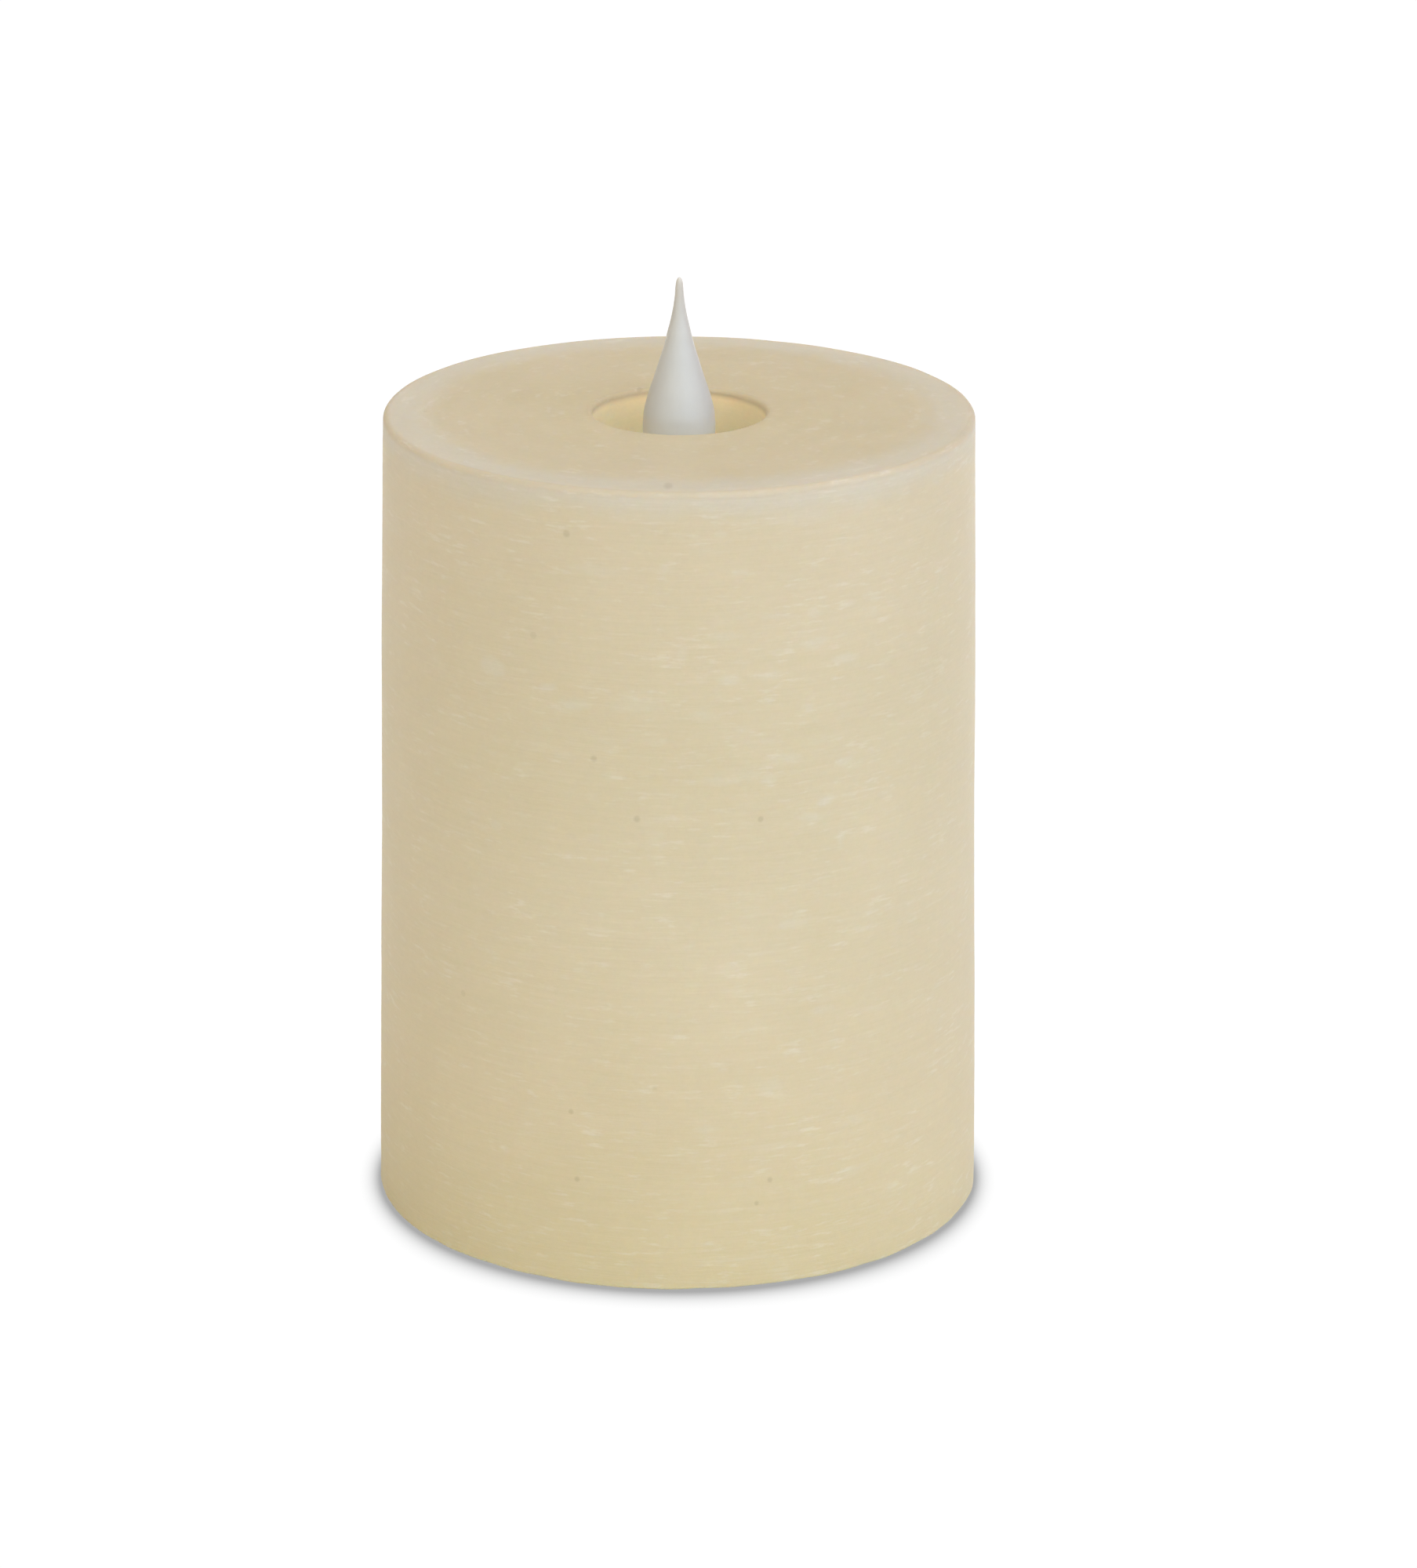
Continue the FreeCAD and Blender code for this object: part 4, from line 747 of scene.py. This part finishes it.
def sleeve_material():
    """Electrolytic capacitor: shrink sleeve with a pole stripe, bare scored top."""
    t = Tree("capacitor_sleeve")
    x, y, z = t.xyz()
    lo, hi = corners("smoothing_capacitor")
    cx = (lo[0] + hi[0]) / 2
    top = t.span(z, hi[2] - 0.45, hi[2] - 0.30)
    stripe = t.math("MULTIPLY", t.span(x, cx - 1.5, cx - 1.6), t.math("SUBTRACT", 1.0, top))
    cloud = t.noise(t.pos(), 1.0, 4.0, 0.6)
    col = t.mix(stripe, (0.012, 0.020, 0.055), (0.48, 0.49, 0.50))
    col = t.mix(t.math("MULTIPLY", cloud, 0.3), col, (0.006, 0.010, 0.025))
    col = t.mix(top, col, (0.66, 0.66, 0.66))
    return t.surface(Base_Color=col, Metallic=t.math("MULTIPLY", top, 0.95),
                     Roughness=t.math("ADD", t.math("MULTIPLY", cloud, 0.2), 0.2),
                     Normal=t.bump(cloud, 0.03, 0.4), Coat_Weight=0.3)


white = plastic("white_plastic", (0.70, 0.69, 0.655), sss=0.25)
stem_white = plastic("stem_plastic", (0.66, 0.65, 0.62), rough=0.38, grain=4.0, depth=0.008,
                     sss=0.4)
ivory = plastic("base_plastic", (0.68, 0.655, 0.59), rough=0.50, grain=1.8, depth=0.03,
                sss=0.2)
black = plastic("black_plastic", (0.018, 0.018, 0.020), rough=0.42, hollow_shade=0.05)
steel = metal("bright_steel", (0.60, 0.59, 0.57))
drawn = metal("drawn_wire", (0.66, 0.66, 0.66), 0.22, (9.0, 0.3, 9.0))
magnet = metal("nickel_magnet", (0.66, 0.64, 0.60), 0.14, (1.2, 1.2, 1.2), 0.006, 0.2)
contact = metal("nickel_contact", (0.64, 0.62, 0.56), 0.26, (0.5, 5.0, 0.5), 0.012, 0.35)
can = metal("crystal_can", (0.68, 0.67, 0.64), 0.2, (0.4, 4.0, 4.0))
GIVEN = {
    "flame_stem": stem_white, "pendulum_magnet": magnet, "pivot_wire": drawn,
    "housing_upper": white, "housing_gasket": foam_material(), "housing_lower": white,
    "housing_screws": steel, "led_board": board_material("led_board_mask", (0.50, 0.50, 0.47)),
    "led_left": resin_material("led_resin", (0.92, 0.86, 0.62), 0.75),
    "coil_bobbin": black, "coil_winding": wound_material(), "support_column": white,
    "column_screws": steel, "battery_box": white,
    "battery_cell_1": cell_material("cell_jacket_1", 1),
    "battery_cell_2": cell_material("cell_jacket_2", -1),
    "positive_contact": contact, "negative_contact": contact, "bridge_contact": contact,
    "negative_spring": contact, "bridge_spring": contact,
    "base_plate": ivory, "base_screws": steel, "battery_door": ivory,
    "main_board": board_material("main_board_mask"), "board_screws": steel,
    "slide_switch_body": contact, "switch_knob": black,
    "controller_chip": resin_material("chip_epoxy", (0.016, 0.016, 0.017)),
    "timing_crystal": can, "smoothing_capacitor": sleeve_material(),
    "drive_transistor": resin_material("transistor_epoxy", (0.020, 0.020, 0.021)),
    "chip_resistors": resin_material("resistor_glaze", (0.030, 0.030, 0.034)),
    "battery_wire_red": lead_material("red_lead", (0.42, 0.016, 0.014)),
    "battery_wire_black": lead_material("black_lead", (0.016, 0.016, 0.018)),
    "coil_wires": metal("coil_lead", (0.72, 0.27, 0.10), 0.24, (3.0, 3.0, 0.5), 0.006, 0.2,
                        (0.30, 0.09, 0.04)),
    "led_wires": lead_material("grey_lead", (0.26, 0.26, 0.27)),
}
GIVEN["led_right"] = GIVEN["led_left"]


def joined_up(angle):
    """Modifier: close the seams between faces, shade smooth except over real edges."""
    g = bpy.data.node_groups.new("smooth_skin", "GeometryNodeTree")
    g.interface.new_socket("Geometry", in_out="INPUT", socket_type="NodeSocketGeometry")
    g.interface.new_socket("Geometry", in_out="OUTPUT", socket_type="NodeSocketGeometry")
    begin, end = g.nodes.new("NodeGroupInput"), g.nodes.new("NodeGroupOutput")
    drop = g.nodes.new("GeometryNodeRemoveAttribute")
    drop.inputs["Name"].default_value = "custom_normal"
    merge = g.nodes.new("GeometryNodeMergeByDistance")
    merge.inputs["Distance"].default_value = 2e-7
    faces = g.nodes.new("GeometryNodeSetShadeSmooth")
    faces.domain = "FACE"
    edges = g.nodes.new("GeometryNodeSetShadeSmooth")
    edges.domain = "EDGE"
    edges.inputs["Shade Smooth"].default_value = False
    bend = g.nodes.new("GeometryNodeInputMeshEdgeAngle")
    over = g.nodes.new("FunctionNodeCompare")
    over.data_type, over.operation = "FLOAT", "GREATER_THAN"
    over.inputs["B"].default_value = angle
    g.links.new(bend.outputs["Unsigned Angle"], over.inputs["A"])
    g.links.new(over.outputs["Result"], edges.inputs["Selection"])
    chain = [begin, drop, merge, faces, edges, end]
    for one, two in zip(chain, chain[1:]):
        g.links.new(one.outputs[0], two.inputs[0])
    return g


SKIN = joined_up(math.radians(28.0))
for name, ob in NODES.items():
    if name in ("wax_shell", "flame_shell"):
        continue
    ob.data.materials.clear()
    ob.data.materials.append(GIVEN[name])
    ob.modifiers.new("smooth_skin", "NODES").node_group = SKIN


# ------------------------------------------------------------ stage
def floor_material():
    """White sweep, blown out to the eye but for a painted contact shadow close round where the
    candle stands.
    """
    t = Tree("floor_white")
    x, y, z = t.xyz()
    soft = t.noise(t.pos(), 0.02, 2.0, 0.5)
    r2 = t.math("ADD", t.math("MULTIPLY", x, x), t.math("MULTIPLY", y, y))
    r = t.math("POWER", r2, 0.5)
    out = t.math("MAXIMUM", t.math("SUBTRACT", r, R), 0.0)
    flank = t.math("POWER", t.math("DIVIDE", t.math("MULTIPLY", x, x),
                                   t.math("MAXIMUM", r2, 1.0)), 3.0)
    out = t.math("MULTIPLY", out, t.math("ADD", t.math("MULTIPLY", flank, 1.1), 1.0))
    fall = t.math("EXPONENT", t.math("MULTIPLY", t.math("POWER", t.math(
        "MULTIPLY", out, 1.0 / SHADE_MM), 1.3), -1.0))
    shade = t.math("MULTIPLY", t.math("SUBTRACT", 1.0, t.math("MULTIPLY", fall, SHADE)), 1.03)
    glow = t.node("ShaderNodeEmission")
    t.put(glow.inputs["Color"], t.join(shade, shade, shade))
    path = t.node("ShaderNodeLightPath")
    both = t.node("ShaderNodeMixShader")
    t.put(both.inputs[0], path.outputs["Is Camera Ray"])
    m = t.surface(Base_Color=(FLOOR, FLOOR, FLOOR, 1.0), Specular_IOR_Level=0.0,
                  Roughness=t.math("ADD", t.math("MULTIPLY", soft, 0.1), 0.85))
    t.put(both.inputs[1], t.bsdf.outputs[0])
    t.put(both.inputs[2], glow.outputs[0])
    t.put(t.out.inputs["Surface"], both.outputs[0])
    return m


# floor colour, and the strength and width of the painted contact shadow
FLOOR, SHADE, SHADE_MM = 0.88, 0.60, 2.8
floor = mesh_object("floor", [(-6, -6, 0), (6, -6, 0), (6, 6, 0), (-6, 6, 0)], [(0, 1, 2, 3)])
floor.data.materials.append(floor_material())

# studio light falling on the object: broad soft lobes (azimuth from the camera towards
# the right, elevation, sharpness, colour strength), and plain white behind everything
LOBES = [(-135.0, 15.0, 4.0, (0.0244, 0.0000, 0.0000)),
         (-80.0, 15.0, 4.0, (0.0628, 0.0000, 0.0000)),
         (-30.0, 15.0, 4.0, (0.7922, 0.8616, 0.8216)),
         (30.0, 15.0, 4.0, (1.0086, 1.1942, 1.3776)),
         (80.0, 15.0, 4.0, (0.1836, 0.1764, 0.2564)),
         (135.0, 15.0, 4.0, (0.0798, 0.0000, 0.0000)),
         (-45.0, 50.0, 4.0, (0.3118, 0.3018, 0.1748)),
         (45.0, 50.0, 4.0, (0.8638, 0.9548, 1.0568)),
         (0.0, 90.0, 3.0, (0.7100, 0.6440, 0.5360))]
AMBIENT = (0.2518, 0.2211, 0.1662)
BACKDROP = 1.10

world = bpy.data.worlds.new("studio")
SCENE.world = world
world.use_nodes = True
sky = Tree.__new__(Tree)
sky.t = world.node_tree
sky.t.nodes.clear()
coord = sky.node("ShaderNodeTexCoord")
glow = None
for az, el, sharp, colour in LOBES:
    a, e = math.radians(az), math.radians(el)
    dot = sky.node("ShaderNodeVectorMath", operation="DOT_PRODUCT")
    sky.put(dot.inputs[0], coord.outputs["Generated"])
    dot.inputs[1].default_value = (math.sin(a) * math.cos(e), -math.cos(a) * math.cos(e),
                                   math.sin(e))
    lobe = sky.math("POWER", sky.math("MAXIMUM", dot.outputs["Value"], 0.0), sharp)
    part = sky.node("ShaderNodeVectorMath", operation="SCALE")
    part.inputs[0].default_value = colour
    sky.put(part.inputs["Scale"], lobe)
    if glow is None:
        glow = part.outputs[0]
    else:
        both = sky.node("ShaderNodeVectorMath", operation="ADD")
        sky.put(both.inputs[0], glow)
        sky.put(both.inputs[1], part.outputs[0])
        glow = both.outputs[0]
base = sky.node("ShaderNodeVectorMath", operation="ADD")
sky.put(base.inputs[0], glow)
base.inputs[1].default_value = AMBIENT
path = sky.node("ShaderNodeLightPath")
seen = sky.mix(path.outputs["Is Camera Ray"], base.outputs[0],
               (BACKDROP, BACKDROP, BACKDROP))
background = sky.node("ShaderNodeBackground")
background.inputs["Strength"].default_value = 1.0
sky.put(background.inputs["Color"], seen)
out = sky.node("ShaderNodeOutputWorld")
sky.t.links.new(background.outputs[0], out.inputs["Surface"])


def area(name, at, look, size, power, color=(1, 1, 1)):
    lamp = bpy.data.lights.new(name, "AREA")
    lamp.shape = "DISK"
    lamp.size = size
    lamp.energy = power
    lamp.color = color
    ob = bpy.data.objects.new(name, lamp)
    SCENE.collection.objects.link(ob)
    ob.location = at
    ob.rotation_euler = (Vector(look) - Vector(at)).to_track_quat("-Z", "Y").to_euler()
    return ob


mid = (0, 0, 0.06)
key = area("key_light", (0.85, -1.36, 0.95), mid, 0.9, 9.0 * 0.2767,
           (0.578, 0.782, 0.947))
# low fill behind the candle, for its far side only: no highlight, no shape of its own
back = area("back_fill", (0.10, 0.80, 0.12), mid, 0.6, 3.60, (1.0, 0.985, 0.940))
back.visible_camera = back.visible_glossy = back.visible_transmission = False

# ------------------------------------------------------------ camera
cam_data = bpy.data.cameras.new("camera")
cam = bpy.data.objects.new("camera", cam_data)
SCENE.collection.objects.link(cam)
SCENE.camera = cam
cam_data.sensor_fit = "AUTO"
cam_data.sensor_width = 36.0
cam_data.lens = FOCAL / 2000.0 * 36.0
cam_data.clip_start, cam_data.clip_end = 0.05, 20.0
cam.location = (0.0, -CAM_D * MM, CAM_H * MM)
cam.rotation_euler = (math.radians(90.0), -ROLL, 0.0)
SHIFT_X = (1807 / 2.0 - CX) / 2000.0
SHIFT_Y = -(1000.0 - CY) / 2000.0


def held_shift(prop, value):
    """The lens shift belongs to the main viewpoint: it is zero from anywhere else."""
    drv = cam_data.driver_add(prop).driver
    drv.type = "SCRIPTED"
    for name, kind in (("py", "LOC_Y"), ("pz", "LOC_Z")):
        var = drv.variables.new()
        var.name = name
        var.type = "TRANSFORMS"
        var.targets[0].id = cam
        var.targets[0].transform_type = kind
        var.targets[0].transform_space = "WORLD_SPACE"
    drv.expression = "%.6f if abs(py + %.6f) + abs(pz - %.6f) < 0.001 else 0.0" % (
        value, CAM_D * MM, CAM_H * MM)


held_shift("shift_x", SHIFT_X)
held_shift("shift_y", SHIFT_Y)

SCENE.view_settings.view_transform = "Standard"
SCENE.view_settings.look = "None"
SCENE.view_settings.exposure = 0.0
SCENE.view_settings.gamma = 1.0

bpy.context.view_layer.update()
